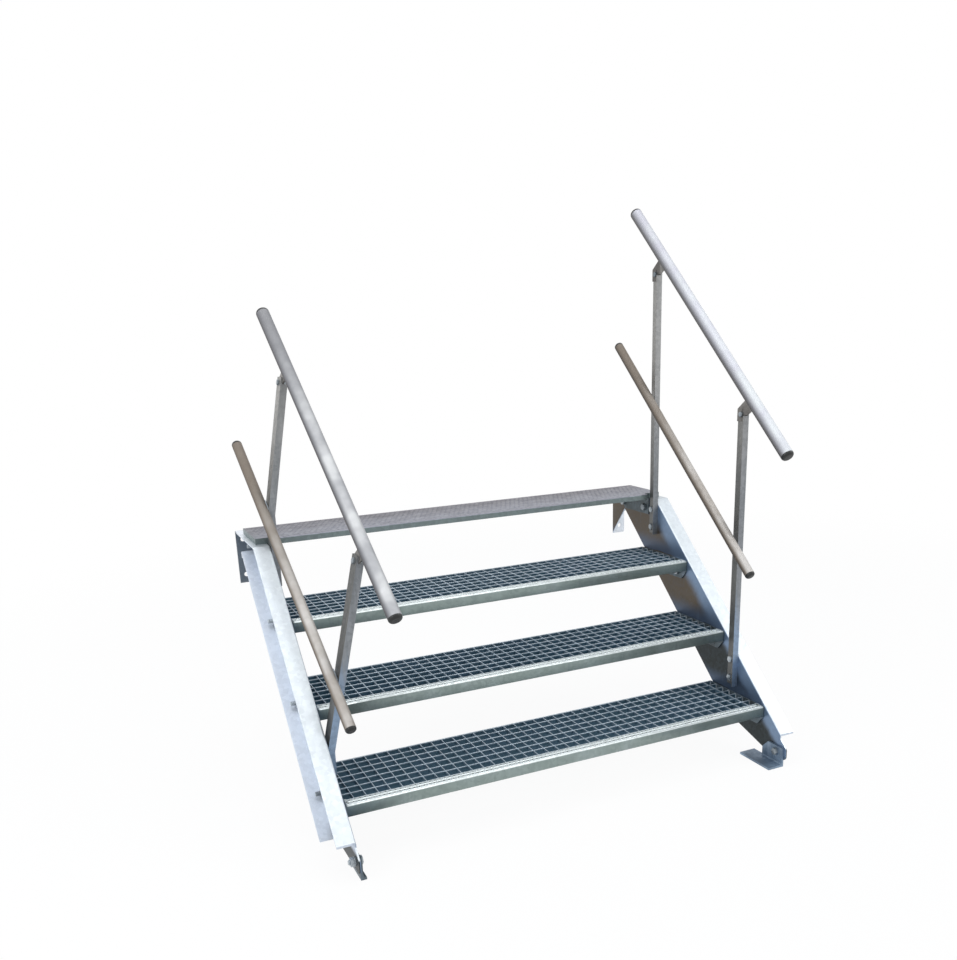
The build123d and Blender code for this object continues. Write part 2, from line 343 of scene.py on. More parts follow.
@dataclass(frozen=True)
class Zinc:
    """A hot-dip galvanised finish: crystals, cloudy bloom, rain streaks and fine grain."""

    name: str
    dark: Colour
    tone: Colour
    bloom: Colour
    crystal: float = 0.012
    bloom_share: float = 0.5
    roughness: float = 0.42
    metallic: float = 0.6
    relief: float = 0.00015
    contrast: float = 1.0

    def colour(self, shader: Shader) -> Value:
        """The finish's colour before crystals and grain are added.

        Args:
            shader: The material under construction.

        Returns:
            The colour.
        """
        clouds = shader.noise(9.0, 5.0)
        streaks = shader.noise(40.0, 3.0, (1.0, 1.0, 0.08))
        base = shader.mix(self.dark, self.tone, clouds.ramp(0.35, 0.62))
        return shader.mix(base, self.bloom, streaks.ramp(0.5, 0.75) * self.bloom_share)

    def material(self) -> bpy.types.Material:
        """Build the finish.

        Returns:
            The material.
        """
        shader = Shader.of_material(self.name)
        crystals = shader.crystals(self.crystal)
        grain = shader.noise(700.0, 2.0)
        clouds = shader.noise(22.0, 4.0)
        share = (crystals * 0.22 + grain * 0.16) * self.contrast
        darker = shader.mix(self.colour(shader), self.dark, share.held())
        roughness = self.roughness + ((crystals - 0.5) * 0.12 + (clouds - 0.5) * 0.22) * self.contrast
        height = crystals * 0.25 + grain * 0.35 + clouds * 0.4
        inputs = {
            "Base Color": darker,
            "Metallic": self.metallic,
            "Roughness": roughness.held(),
        }
        return shader.finish(inputs, height if self.relief else None, self.relief)


@dataclass(frozen=True)
class StringerZinc(Zinc):
    """Sheet of the stringers: upper faces painted white as a highlight from the sky, a web weathered
    brown and slate that is darker near the ground, painted reflections above the treads and painted shade
    on the left wall flange.
    """

    brown: Colour = linear(86, 73, 56)
    slate: Colour = linear(124, 146, 174)
    deep: Colour = linear(24, 32, 30)
    # Painted reflection: bluish light from the treads on the web just above each one.
    tread_reflection: Colour = linear(80, 98, 124)
    # Painted highlight: the white of upward faces, as if the sky lit them.
    white: Colour = linear(216, 223, 228)
    # Painted highlight: near white on the lower flange's upper face, as if sky-lit, though the upper
    # flange shades it.
    lower_flange_highlight: Colour = linear(240, 245, 252)
    # Painted shade on the left wall flange.
    wall: Colour = linear(112, 121, 130)
    upper_line: float = (173.0 - FRAME_ORIGIN.z + FRAME_ORIGIN.y * RISE / GOING) / 1000

    def colour(self, shader: Shader) -> Value:
        """The colour, which follows the height in the web and the way that a face is turned: upward faces
        take a painted sky highlight.

        Args:
            shader: The material under construction.

        Returns:
            The colour.
        """
        clouds = shader.noise(6.0, 5.0)
        drop = shader.axis("Z") - shader.axis("Y") * (RISE / GOING)
        below = self.upper_line - drop + (clouds - 0.5) * 0.09
        reach = (shader.axis("X") + FRAME_ORIGIN.x / 1000).size()
        lower_flange = below.ramp(0.12, 0.15) * reach.ramp(0.605, 0.607)
        outside = self.outside(shader, reach, lower_flange)
        side = shader.mix(outside, self.web(shader, clouds, below), reach.ramp(0.6022, 0.6008))
        # Painted highlight: upward faces turn white, as if the sky lit them, with some bloom.
        top = shader.mix(self.white, self.bloom, clouds.ramp(0.5, 0.75) * 0.35)
        # Painted highlight on the lower flange's upper face.
        top = shader.mix(top, self.lower_flange_highlight, lower_flange)
        return shader.mix(side, top, shader.facing("Z").ramp(0.35, 0.6))

    def web(self, shader: Shader, clouds: Value, below: Value) -> Value:
        """Colour the web's inner side: slate along its top, brown below it, dark near the ground, and a
        painted bluish reflection of each tread just above it.

        Args:
            shader: The material under construction.
            clouds: A cloudy pattern from 0 to 1.
            below: Distance below the stringer's upper edge in metres.

        Returns:
            The colour.
        """
        web = shader.mix(self.slate, self.brown, below.ramp(0.035, 0.085))
        low = (shader.axis("Z") + (clouds - 0.5) * 0.16).ramp(-0.18, -0.29)
        web = shader.mix(web, self.deep, (low * below.ramp(0.03, 0.07)).held())
        # Painted reflection of each tread, strongest just above its top.
        tread_reflection_mask = (shader.axis("Z") + FRAME_ORIGIN.z / 1000 + (clouds - 0.5) * 0.03) % (RISE / 1000)
        web = shader.mix(web, self.tread_reflection, tread_reflection_mask.ramp(0.055, 0.01) * 0.75)
        return shader.mix(web, self.slate, self.streaks(shader).ramp(0.6, 0.85) * 0.25)

    def outside(self, shader: Shader, reach: Value, lower_flange: Value) -> Value:
        """Colour the outer faces: streaked, darker at the foot, pale on the lower flange as a painted
        highlight, and grey on the left wall flange as painted shade.

        Args:
            shader: The material under construction.
            reach: Distance from the middle of the stair in metres.
            lower_flange: 1 on the lower flange, else 0.

        Returns:
            The colour.
        """
        outer = shader.mix(self.tone, self.bloom, self.streaks(shader).ramp(0.35, 0.6))
        foot = (reach.ramp(0.607, 0.605) * shader.axis("Z").ramp(-0.5, -0.515)).held()
        outer = shader.mix(outer, self.deep, foot)
        # Painted highlight on the lower flange.
        outer = shader.mix(outer, self.lower_flange_highlight, lower_flange)
        # Painted shade: the left wall flange turns grey near the wall.
        left_wall_shade = shader.axis("Y").ramp(-0.03, -0.01) * shader.axis("X").ramp(-1.0, -1.1)
        return shader.mix(outer, self.wall, left_wall_shade)

    @staticmethod
    def streaks(shader: Shader) -> Value:
        """Streaks that run down the sheet."""
        return shader.noise(34.0, 3.0, (1.0, 1.0, 0.1))


@dataclass(frozen=True)
class GratingZinc(Zinc):
    """Grating bars: pale worn tops over cells painted dark as shade, partly dirt."""

    # Painted shade in the cells, over some dirt.
    cell: Colour = linear(78, 108, 124)
    worn: Colour = linear(208, 220, 230)

    def colour(self, shader: Shader) -> Value:
        """The colour, which darkens from the top of each tread down into its cells as painted shade.

        Args:
            shader: The material under construction.

        Returns:
            The colour.
        """
        clouds = shader.noise(14.0, 4.0)
        top = (RISE - FRAME_ORIGIN.z) / 1000
        depth = (top - shader.axis("Z") + 0.0005) % (RISE / 1000)
        upper = shader.mix(self.bloom, self.worn, clouds.ramp(0.35, 0.65))
        # Painted shade: the cells darken below the bars' tops; faces turned along X take a little less of
        # it.
        cell = shader.mix(self.cell, self.dark, clouds.ramp(0.4, 0.7))
        across = shader.facing("X").size().ramp(0.6, 0.9)
        sides = shader.mix(cell, self.tone, across * 0.45)
        share = (1 - (depth + (clouds - 0.5) * 0.002).ramp(0.0008, 0.0045)).held()
        return shader.mix(sides, upper, share)


@dataclass(frozen=True)
class NosingZinc(Zinc):
    """Folded front strip: a speckled top painted pale as if lit from above, a painted highlight along the
    fold, and a grey-green front face.
    """

    front: Colour = linear(148, 162, 158)
    # Painted highlight along the rounded fold.
    bright: Colour = linear(240, 248, 248)

    def colour(self, shader: Shader) -> Value:
        """The colour, which is painted pale on upward faces as if lit from above, with a painted
        highlight on the fold.

        Args:
            shader: The material under construction.

        Returns:
            The colour.
        """
        clouds = shader.noise(11.0, 4.0)
        streaks = shader.noise(60.0, 3.0, (1.0, 1.0, 0.15))
        speckle = shader.noise(260.0, 2.0)
        face = shader.mix(self.front, self.tone, clouds.ramp(0.4, 0.75) * 0.6)
        face = shader.mix(face, self.dark, streaks.ramp(0.55, 0.8) * 0.4)
        top = shader.mix(self.bloom, self.tone, speckle.ramp(0.5, 0.7) * 0.45)
        # Painted light: upward faces take the pale top and the fold a highlight; the front face keeps its
        # grey-green tint.
        up = shader.facing("Z")
        edge = (up.ramp(0.15, 0.4) * up.ramp(0.995, 0.93)).held()
        return shader.mix(shader.mix(face, top, up.ramp(0.2, 0.6)), self.bright, edge)


@dataclass(frozen=True)
class LandingZinc(Zinc):
    """Landing plate: a grey top with a faint purple cast that pales towards its front edge."""

    front: Colour = linear(124, 138, 138)
    rear: Colour = linear(104, 102, 111)
    front_edge: float = (TREAD_COUNT * GOING - FRAME_ORIGIN.y) / 1000

    def colour(self, shader: Shader) -> Value:
        """The colour, which is darkest along the back.

        Args:
            shader: The material under construction.

        Returns:
            The colour.
        """
        clouds = shader.noise(13.0, 4.0, (1.0, 2.5, 1.0))
        back = (shader.axis("Y") - self.front_edge + (clouds - 0.5) * 0.05).ramp(0.01, 0.17)
        top = shader.mix(self.bloom, self.rear, (back * 0.8 + clouds.ramp(0.4, 0.7) * 0.3).held())
        face = shader.mix(self.front, self.tone, clouds.ramp(0.4, 0.75) * 0.5)
        return shader.mix(face, top, shader.facing("Z").ramp(0.2, 0.6))


@dataclass(frozen=True)
class AngleZinc(Zinc):
    """Rolled posts: a warm side leg painted darker as shade, and a cool front leg that faces the light.
    """

    # Painted shade with a warm brown tint on the side leg.
    brown_shaded_leg: Colour = linear(108, 108, 106)
    bluish: Colour = linear(146, 170, 198)
    upper: Colour = linear(188, 186, 182)

    def colour(self, shader: Shader) -> Value:
        """The colour, which differs between the two legs: the side leg carries painted shade.

        Args:
            shader: The material under construction.

        Returns:
            The colour.
        """
        streaks = shader.noise(46.0, 4.0, (1.0, 1.0, 0.07))
        front = shader.mix(self.tone, self.bloom, streaks.ramp(0.4, 0.7) * self.bloom_share)
        height = shader.axis("Z") + (streaks - 0.5) * 0.2
        front = shader.mix(front, self.bluish, height.ramp(-0.08, -0.26) * 0.9)
        # Painted shade: the side leg is darker and brown.
        side = shader.mix(self.brown_shaded_leg, self.dark, streaks.ramp(0.45, 0.75) * 0.5)
        both = shader.mix(side, front, shader.facing("Y").size().ramp(0.4, 0.8))
        return shader.mix(both, self.upper, height.ramp(0.1, 0.5) * 0.55)


@dataclass(frozen=True)
class TubeZinc(Zinc):
    """Rails: a painted highlight, streaked white, on the upper right side where the light falls, duller
    at the back, with painted shade on the underside.
    """

    crystal: float = 0.02
    roughness: float = 0.6
    metallic: float = 0.1
    relief: float = 0.0
    # Painted highlight on the side that faces the light.
    white: Colour = linear(226, 230, 232)
    rear_share: float = 0.3

    def colour(self, shader: Shader) -> Value:
        """The colour, which follows the way that the surface faces: a painted highlight where it faces up
        and right, painted shade on the lower left.

        Args:
            shader: The material under construction.

        Returns:
            The colour.
        """
        streaks = shader.noise(9.0, 3.0)
        # The lit side: painted highlight, streaked between bloom and white.
        outer = shader.mix(self.bloom, self.white, streaks.ramp(0.35, 0.65))
        rear = shader.axis("Y").ramp(-0.6, -0.15)
        outer = shader.mix(outer, self.tone, (rear * self.rear_share).held())
        # Painted light and shade: faces up and to the right take the highlight, the lower left side dark
        # shade.
        facing_light = shader.facing("Z") * 0.7 + shader.facing("X") * 0.75
        under = shader.mix(self.dark, self.tone, facing_light.ramp(-0.95, -0.45))
        outer = shader.mix(outer, self.tone, facing_light.ramp(0.75, 1.0) * 0.5)
        return shader.mix(under, outer, (facing_light + (streaks - 0.5) * 0.2).ramp(-0.7, 0.1))


@dataclass(frozen=True)
class Plastic:
    """Moulded end caps."""

    name: str
    tone: Colour
    scuff: Colour

    def material(self) -> bpy.types.Material:
        """Build the finish.

        Returns:
            The material.
        """
        shader = Shader.of_material(self.name)
        clouds = shader.noise(60.0, 4.0)
        grain = shader.noise(1400.0, 2.0)
        colour = shader.mix(self.tone, self.scuff, clouds.ramp(0.5, 0.75) * 0.6)
        roughness = 0.42 + (clouds - 0.5) * 0.3
        return shader.finish({"Base Color": colour, "Roughness": roughness.held()}, grain, 0.00006)


STRINGER_FINISH = StringerZinc(
    "stringer_zinc",
    dark=linear(104, 116, 128),
    tone=linear(186, 198, 214),
    bloom=linear(222, 231, 243),
    crystal=0.009,
    contrast=0.55,
)
GRATING_FINISH = GratingZinc(
    "grating_zinc",
    dark=linear(88, 116, 136),
    tone=linear(150, 172, 190),
    bloom=linear(190, 204, 214),
    crystal=0.006,
)
NOSING_FINISH = NosingZinc(
    "nosing_zinc",
    dark=linear(108, 120, 118),
    tone=linear(174, 187, 188),
    bloom=linear(230, 238, 242),
    crystal=0.009,
)
LANDING_FINISH = LandingZinc(
    "landing_zinc",
    dark=linear(78, 82, 86),
    tone=linear(126, 138, 142),
    bloom=linear(144, 146, 158),
    crystal=0.009,
)
PLATE_FINISH = Zinc(
    "plate_zinc",
    dark=linear(70, 78, 80),
    tone=linear(104, 118, 128),
    bloom=linear(132, 148, 164),
    crystal=0.008,
)
FOOT_FINISH = Zinc(
    "foot_zinc",
    dark=linear(104, 120, 138),
    tone=linear(146, 168, 190),
    bloom=linear(186, 202, 218),
    crystal=0.008,
)
ANGLE_FINISH = AngleZinc(
    "angle_zinc",
    dark=linear(78, 82, 84),
    tone=linear(136, 140, 144),
    bloom=linear(168, 171, 176),
    crystal=0.008,
)
HEAD_FINISH = Zinc(
    "head_zinc",
    dark=linear(96, 93, 90),
    tone=linear(146, 143, 139),
    bloom=linear(172, 170, 166),
    crystal=0.008,
)
RIGHT_HANDRAIL_FINISH = TubeZinc(
    "pale_tube_zinc",
    dark=linear(88, 86, 86),
    tone=linear(158, 158, 164),
    bloom=linear(212, 212, 222),
    contrast=0.25,
)
LEFT_HANDRAIL_FINISH = TubeZinc(
    "dull_tube_zinc",
    dark=linear(66, 65, 66),
    tone=linear(114, 114, 118),
    bloom=linear(178, 179, 182),
    contrast=0.25,
    white=linear(222, 223, 223),
    rear_share=0.75,
)
KNEE_RAIL_FINISH = TubeZinc(
    "knee_tube_zinc",
    dark=linear(70, 62, 55),
    tone=linear(118, 107, 95),
    bloom=linear(178, 171, 163),
    contrast=0.3,
    white=linear(214, 210, 205),
    rear_share=0.95,
)
BOLT_FINISH = Zinc(
    "bolt_zinc",
    dark=linear(120, 128, 134),
    tone=linear(186, 194, 200),
    bloom=linear(222, 228, 232),
    crystal=0.003,
    roughness=0.32,
    metallic=0.75,
    relief=0.00006,
)
WELD_FINISH = Zinc(
    "weld_zinc",
    dark=linear(120, 130, 138),
    tone=linear(184, 194, 202),
    bloom=linear(226, 232, 236),
    crystal=0.003,
    roughness=0.5,
)
CAP_FINISH = Plastic("cap_plastic", tone=linear(22, 24, 24), scuff=linear(54, 55, 54))


def spun(profile: Iterable[tuple[float, float]], steps: int, closed: bool = False) -> bmesh.types.BMesh:
    """Turn a profile about the X axis.

    Args:
        profile: Points as distance along the axis and radius.
        steps: How many steps the turn has.
        closed: Whether the profile's last point joins its first.

    Returns:
        The mesh of the turned surface.
    """
    mesh = bmesh.new()
    points = [mesh.verts.new((x, radius, 0.0)) for x, radius in profile]
    pairs = list(zip(points, points[1:]))
    if closed:
        pairs.append((points[-1], points[0]))
    edges = [mesh.edges.new(pair) for pair in pairs]
    bmesh.ops.spin(
        mesh,
        geom=points + edges,
        cent=(0.0, 0.0, 0.0),
        axis=(1.0, 0.0, 0.0),
        angle=math.tau,
        steps=steps,
        use_merge=True,
    )
    bmesh.ops.remove_doubles(mesh, verts=mesh.verts, dist=0.001)
    bmesh.ops.recalc_face_normals(mesh, faces=mesh.faces)
    return mesh


def join(target: bmesh.types.BMesh, source: bmesh.types.BMesh, matrix: Matrix) -> None:
    """Add one mesh to another and free it.

    Args:
        target: The mesh that grows.
        source: The mesh that is added.
        matrix: The place of the added mesh.
    """
    bmesh.ops.transform(source, matrix=matrix, verts=source.verts)
    if matrix.determinant() < 0:
        bmesh.ops.reverse_faces(source, faces=source.faces)
    carrier = bpy.data.meshes.new("carrier")
    source.to_mesh(carrier)
    source.free()
    target.from_mesh(carrier)
    bpy.data.meshes.remove(carrier)


def aimed(start: Vector, end: Vector) -> Matrix:
    """The place of a piece whose X axis runs from one point towards another.

    Args:
        start: Where the piece starts.
        end: The point that it is aimed at.

    Returns:
        The matrix.
    """
    turn = (end - start).to_track_quat("X", "Z").to_matrix().to_4x4()
    return Matrix.Translation(start) @ turn


def add_bar(mesh: bmesh.types.BMesh, low: Point, high: Point, eased: float) -> None:
    """Add a flat bar with eased edges.

    Args:
        mesh: The mesh that it goes into.
        low: Its lowest corner.
        high: Its highest corner.
        eased: Width of the eased edges.
    """
    size = [b - a for a, b in zip(low, high)]
    middle = [(b + a) / 2 for a, b in zip(low, high)]
    matrix = Matrix.Translation(middle) @ Matrix.Diagonal((*size, 1.0))
    corners = bmesh.ops.create_cube(mesh, size=1.0, matrix=matrix)["verts"]
    edges = list({edge for corner in corners for edge in corner.link_edges})
    bmesh.ops.bevel(
        mesh, geom=edges, offset=eased, segments=1, profile=0.5, affect="EDGES", material=-1
    )


def add_bead(mesh: bmesh.types.BMesh, start: Vector, end: Vector, radius: float) -> None:
    """Add a weld bead with its ripples.

    Args:
        mesh: The mesh that it goes into.
        start: One end of the bead.
        end: The other end.
        radius: Half of its width.
    """
    length = (end - start).length
    ripples = max(2, round(length / (radius * 0.9)))
    pitch = length / ripples
    profile = [(0.0, 0.0)]
    for ripple in range(ripples):
        profile.append((pitch * (ripple + 0.15), radius * 0.84))
        profile.append((pitch * (ripple + 0.6), radius))
    profile.append((length, 0.0))
    join(mesh, spun(profile, 8), aimed(start, end))


class SubAssembly:
    """A group of pieces that are made together."""

    def make(
        self,
        name: str,
        mesh: bmesh.types.BMesh,
        finish: bpy.types.Material,
        slot: Slot,
        stands_for: Iterable[str] = (),
    ) -> bpy.types.Object:
        """Turn a mesh in stair millimetres into a piece of the stair.

        Args:
            name: The piece's name.
            mesh: Its mesh, which is freed.
            finish: Its material.
            slot: The record's slot for its finish; not used.
            stands_for: The CAD nodes that it replaces.

        Returns:
            The piece.
        """
        bmesh.ops.transform(mesh, matrix=TO_FRAME, verts=mesh.verts)
        data = bpy.data.meshes.new(name)
        mesh.to_mesh(data)
        mesh.free()
        data.shade_smooth()
        data.set_sharp_from_angle(angle=math.radians(32))
        data.materials.append(finish)
        piece = bpy.data.objects.new(name, data)
        bpy.context.scene.collection.objects.link(piece)
        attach(piece, "root")
        if stands_for:
            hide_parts(*stands_for)
        LOG.info("%s: %d faces", name, len(data.polygons))
        return piece

    def dress(self, node: str, finish: bpy.types.Material, eased: float) -> None:
        """Give a CAD node its finish and soft edges.

        Args:
            node: The node's name.
            finish: Its material.
            eased: Width of its eased edges in millimetres.
        """
        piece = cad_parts[node]
        piece.data.materials.clear()
        piece.data.materials.append(finish)
        weld = piece.modifiers.new("joined", "WELD")
        weld.merge_threshold = 0.00001
        bevel = piece.modifiers.new("eased", "BEVEL")
        bevel.width = eased / 1000
        bevel.segments = 2
        bevel.limit_method = "ANGLE"
        bevel.angle_limit = math.radians(40)
        piece.modifiers.new("shading", "WEIGHTED_NORMAL").keep_sharp = True
        LOG.info("%s: dressed", node)


@dataclass
class Stringers(SubAssembly):
    """The two folded stringers with their feet."""

    sheet: bpy.types.Material
    right_foot: bpy.types.Material
    left_foot: bpy.types.Material
    eased: float = 0.7

    def build(self) -> None:
        """Dress the stringers and the feet."""
        for side in Side:
            self.dress(f"stringer_{side.word}", self.sheet, self.eased)
        self.dress("foot_right", self.right_foot, self.eased)
        self.dress("foot_left", self.left_foot, self.eased)


@dataclass
class Tread(SubAssembly):
    """One grating tread with its nosing, end plates and welds."""

    number: int
    bars: bpy.types.Material
    strip: bpy.types.Material
    plate: bpy.types.Material
    weld: bpy.types.Material
    depth: float = 240.0
    bar_depth: float = 30.0
    bar_thickness: float = 2.0
    bar_eased: float = 0.45
    cross_depth: float = 10.0
    cross_sunk: float = 0.15
    cross_inside: float = 1.0
    pitch: float = 30.0
    rear_bar: float = 3.0
    joint_radii: tuple[float, float] = (2.7, 1.7)
    joint_height: float = 1.7
    joint_sunk: float = 0.1
    plate_eased: float = 0.6
    nosing_width: float = 29.0
    nosing_sheet: float = 2.5
    fold_radius: float = 4.0
    fold_steps: int = 5
    lip: float = 12.0
    lip_bend: float = 2.5
    lip_corner: float = 0.8
    hole_columns: int = 96
    hole_steps: int = 16
    hole_radius: float = 2.1
    hole_depth: float = 0.4
    rim_radius: float = 3.9
    rim_height: float = 0.75
    weld_sunk: float = 0.6
    bar_weld: float = 2.0
    bar_weld_drop: float = 24.0
    bar_weld_stop: float = 0.9
    tack: float = 1.7
    tack_length: float = 7.0
    tack_sunk: float = 0.8
    strip_weld: float = 1.6
    strip_weld_start: float = 3.0
    strip_weld_sunk: float = 0.2

    @property
    def front(self) -> float:
        """Distance of the tread's front edge from the first nosing."""
        return (self.number - 1) * GOING

    @property
    def top(self) -> float:
        """Height of the tread's upper face."""
        return self.number * RISE

    @property
    def end(self) -> float:
        """Distance of the bars' ends from the middle of the stair."""
        return HALF_WIDTH - END_PLATE

    def build(self) -> None:
        """Make the tread's pieces."""
        self.build_grating()
        self.build_nosing()
        self.build_welds()
        self.dress(f"tread_{self.number}_end_plates", self.plate, self.plate_eased)

    def bar_places(self) -> list[tuple[float, float]]:
        """The bearing bars.

        Returns:
            The middle and the thickness of each, along Y.
        """
        steps = range(1, round(self.depth / self.pitch))
        places = [(self.front + step * self.pitch, self.bar_thickness) for step in steps]
        places.append((self.front + self.depth - self.rear_bar / 2, self.rear_bar))
        return places

    def cross_places(self) -> list[float]:
        """The cross bars.

        Returns:
            The middle of each, along X.
        """
        lines = round(2 * HALF_WIDTH / self.pitch) - 1
        return [(step - (lines - 1) / 2) * self.pitch for step in range(lines)]

    def build_grating(self) -> None:
        """Make the bars and the pressed joints where they cross."""
        mesh = bmesh.new()
        for middle, thickness in self.bar_places():
            low = (-self.end, middle - thickness / 2, self.top - self.bar_depth)
            add_bar(mesh, low, (self.end, middle + thickness / 2, self.top), self.bar_eased)
        half = self.bar_thickness / 2
        rear = self.front + self.depth - self.cross_inside
        for middle in self.cross_places():
            low = (middle - half, self.front + self.pitch, self.top - self.cross_depth)
            add_bar(mesh, low, (middle + half, rear, self.top - self.cross_sunk), self.bar_eased)
        height = self.top - self.joint_sunk - self.joint_height / 2
        foot, head = self.joint_radii
        for middle, _ in self.bar_places()[:-1]:
            for x in self.cross_places():
                bmesh.ops.create_cone(
                    mesh,
                    cap_ends=True,
                    segments=4,
                    radius1=foot,
                    radius2=head,
                    depth=self.joint_height,
                    matrix=Matrix.Translation((x, middle, height)) @ Matrix.Rotation(math.pi / 4, 4, "Z"),
                )
        name = f"tread_{self.number}_grating_bars"
        self.make(name, mesh, self.bars, Slot.GRATING, [f"tread_{self.number}_grating"])

    def hole_cell(self, width: float, depth: float) -> bmesh.types.BMesh:
        """Make a rectangle of the strip with one punched hole and its raised rim.

        Args:
            width: Its size along X.
            depth: Its size along Y.

        Returns:
            The mesh, with its middle at the origin.
        """
        cell = bmesh.new()
        matrix = Matrix.Translation((0.0, 0.0, -self.hole_depth))
        bmesh.ops.create_circle(
            cell, cap_ends=False, segments=self.hole_steps, radius=self.hole_radius, matrix=matrix
        )
        loops = (
            (self.hole_radius * 1.25, self.rim_height),
            (self.rim_radius * 0.8, self.rim_height - 0.05),
            (self.rim_radius, 0.0),
        )
        edges = list(cell.edges)
        for radius, height in loops:
            made = bmesh.ops.extrude_edge_only(cell, edges=edges)["geom"]
            edges = [item for item in made if isinstance(item, bmesh.types.BMEdge)]
            for vert in {vert for edge in edges for vert in edge.verts}:
                flat = Vector((vert.co.x, vert.co.y)).normalized() * radius
                vert.co = (flat.x, flat.y, height)
        made = bmesh.ops.extrude_edge_only(cell, edges=edges)["geom"]
        for vert in [item for item in made if isinstance(item, bmesh.types.BMVert)]:
            reach = max(abs(vert.co.x) / (width / 2), abs(vert.co.y) / (depth / 2))
            vert.co = (vert.co.x / reach, vert.co.y / reach, 0.0)
        return cell

    def build_nosing(self) -> None:
        """Make the folded strip with two rows of punched holes."""
        mesh = bmesh.new()
        flat = self.front + self.fold_radius
        depth = (self.nosing_width - self.fold_radius) / 2
        pitch = 2 * self.end / self.hole_columns
        for row in range(2):
            columns = self.hole_columns - row
            for column in range(columns):
                x = (column - (columns - 1) / 2) * pitch
                place = Matrix.Translation((x, flat + depth * (row + 0.5), self.top))
                join(mesh, self.hole_cell(pitch, depth), place)
        for sign in (-1, 1):
            middle = (sign * (self.end - pitch / 4), flat + depth * 1.5, self.top)
            matrix = Matrix.Translation(middle) @ Matrix.Diagonal((pitch / 4, depth / 2, 1.0, 1.0))
            bmesh.ops.create_grid(mesh, x_segments=1, y_segments=1, size=1.0, matrix=matrix)
        self.add_fold(mesh, flat)
        bmesh.ops.remove_doubles(mesh, verts=mesh.verts, dist=0.02)
        bmesh.ops.recalc_face_normals(mesh, faces=mesh.faces)
        name = f"tread_{self.number}_nosing_strip"
        piece = self.make(name, mesh, self.strip, Slot.NOSING, [f"tread_{self.number}_nosing"])
        wall = piece.modifiers.new("sheet", "SOLIDIFY")
        wall.thickness = self.nosing_sheet / 1000
        wall.offset = -1.0

    def add_fold(self, mesh: bmesh.types.BMesh, flat: float) -> None:
        """Add the rounded fold, the front face and the lip below it.

        Args:
            mesh: The mesh of the strip.
            flat: Where the flat top starts, along Y.
        """
        low = self.top - self.bar_depth
        profile = []
        for step in range(self.fold_steps + 1):
            angle = math.radians(90 + 90 * step / self.fold_steps)
            y = flat + self.fold_radius * math.cos(angle)
            z = self.top - self.fold_radius + self.fold_radius * math.sin(angle)
            profile.append((y, z))
        profile += [
            (self.front, low + self.lip_bend),
            (self.front + self.lip_corner, low + self.lip_corner),
            (self.front + self.lip_bend, low),
            (self.front + self.lip, low),
        ]
        points = [mesh.verts.new((-self.end, y, z)) for y, z in profile]
        edges = [mesh.edges.new(pair) for pair in zip(points, points[1:])]
        made = bmesh.ops.extrude_edge_only(mesh, edges=edges)["geom"]
        moved = [item for item in made if isinstance(item, bmesh.types.BMVert)]
        bmesh.ops.translate(mesh, verts=moved, vec=(2 * self.end, 0.0, 0.0))

    def build_welds(self) -> None:
        """Make the beads that hold the bars and the strip to the end plates."""
        mesh = bmesh.new()
        for sign in (-1, 1):
            x = sign * (self.end - self.weld_sunk)
            for middle, thickness in self.bar_places():
                y = middle - thickness / 2 - self.weld_sunk
                start = Vector((x, y, self.top - self.bar_weld_drop))
                add_bead(mesh, start, Vector((x, y, self.top - self.bar_weld_stop)), self.bar_weld)
                z = self.top - self.tack_sunk
                start = Vector((sign * (self.end - self.tack_length), middle, z))
                add_bead(mesh, start, Vector((x, middle, z)), self.tack)
            z = self.top - self.strip_weld_sunk
            start = Vector((x, self.front + self.strip_weld_start, z))
            add_bead(mesh, start, Vector((x, self.front + self.nosing_width, z)), self.strip_weld)
        self.make(f"tread_{self.number}_welds", mesh, self.weld, Slot.GRATING)


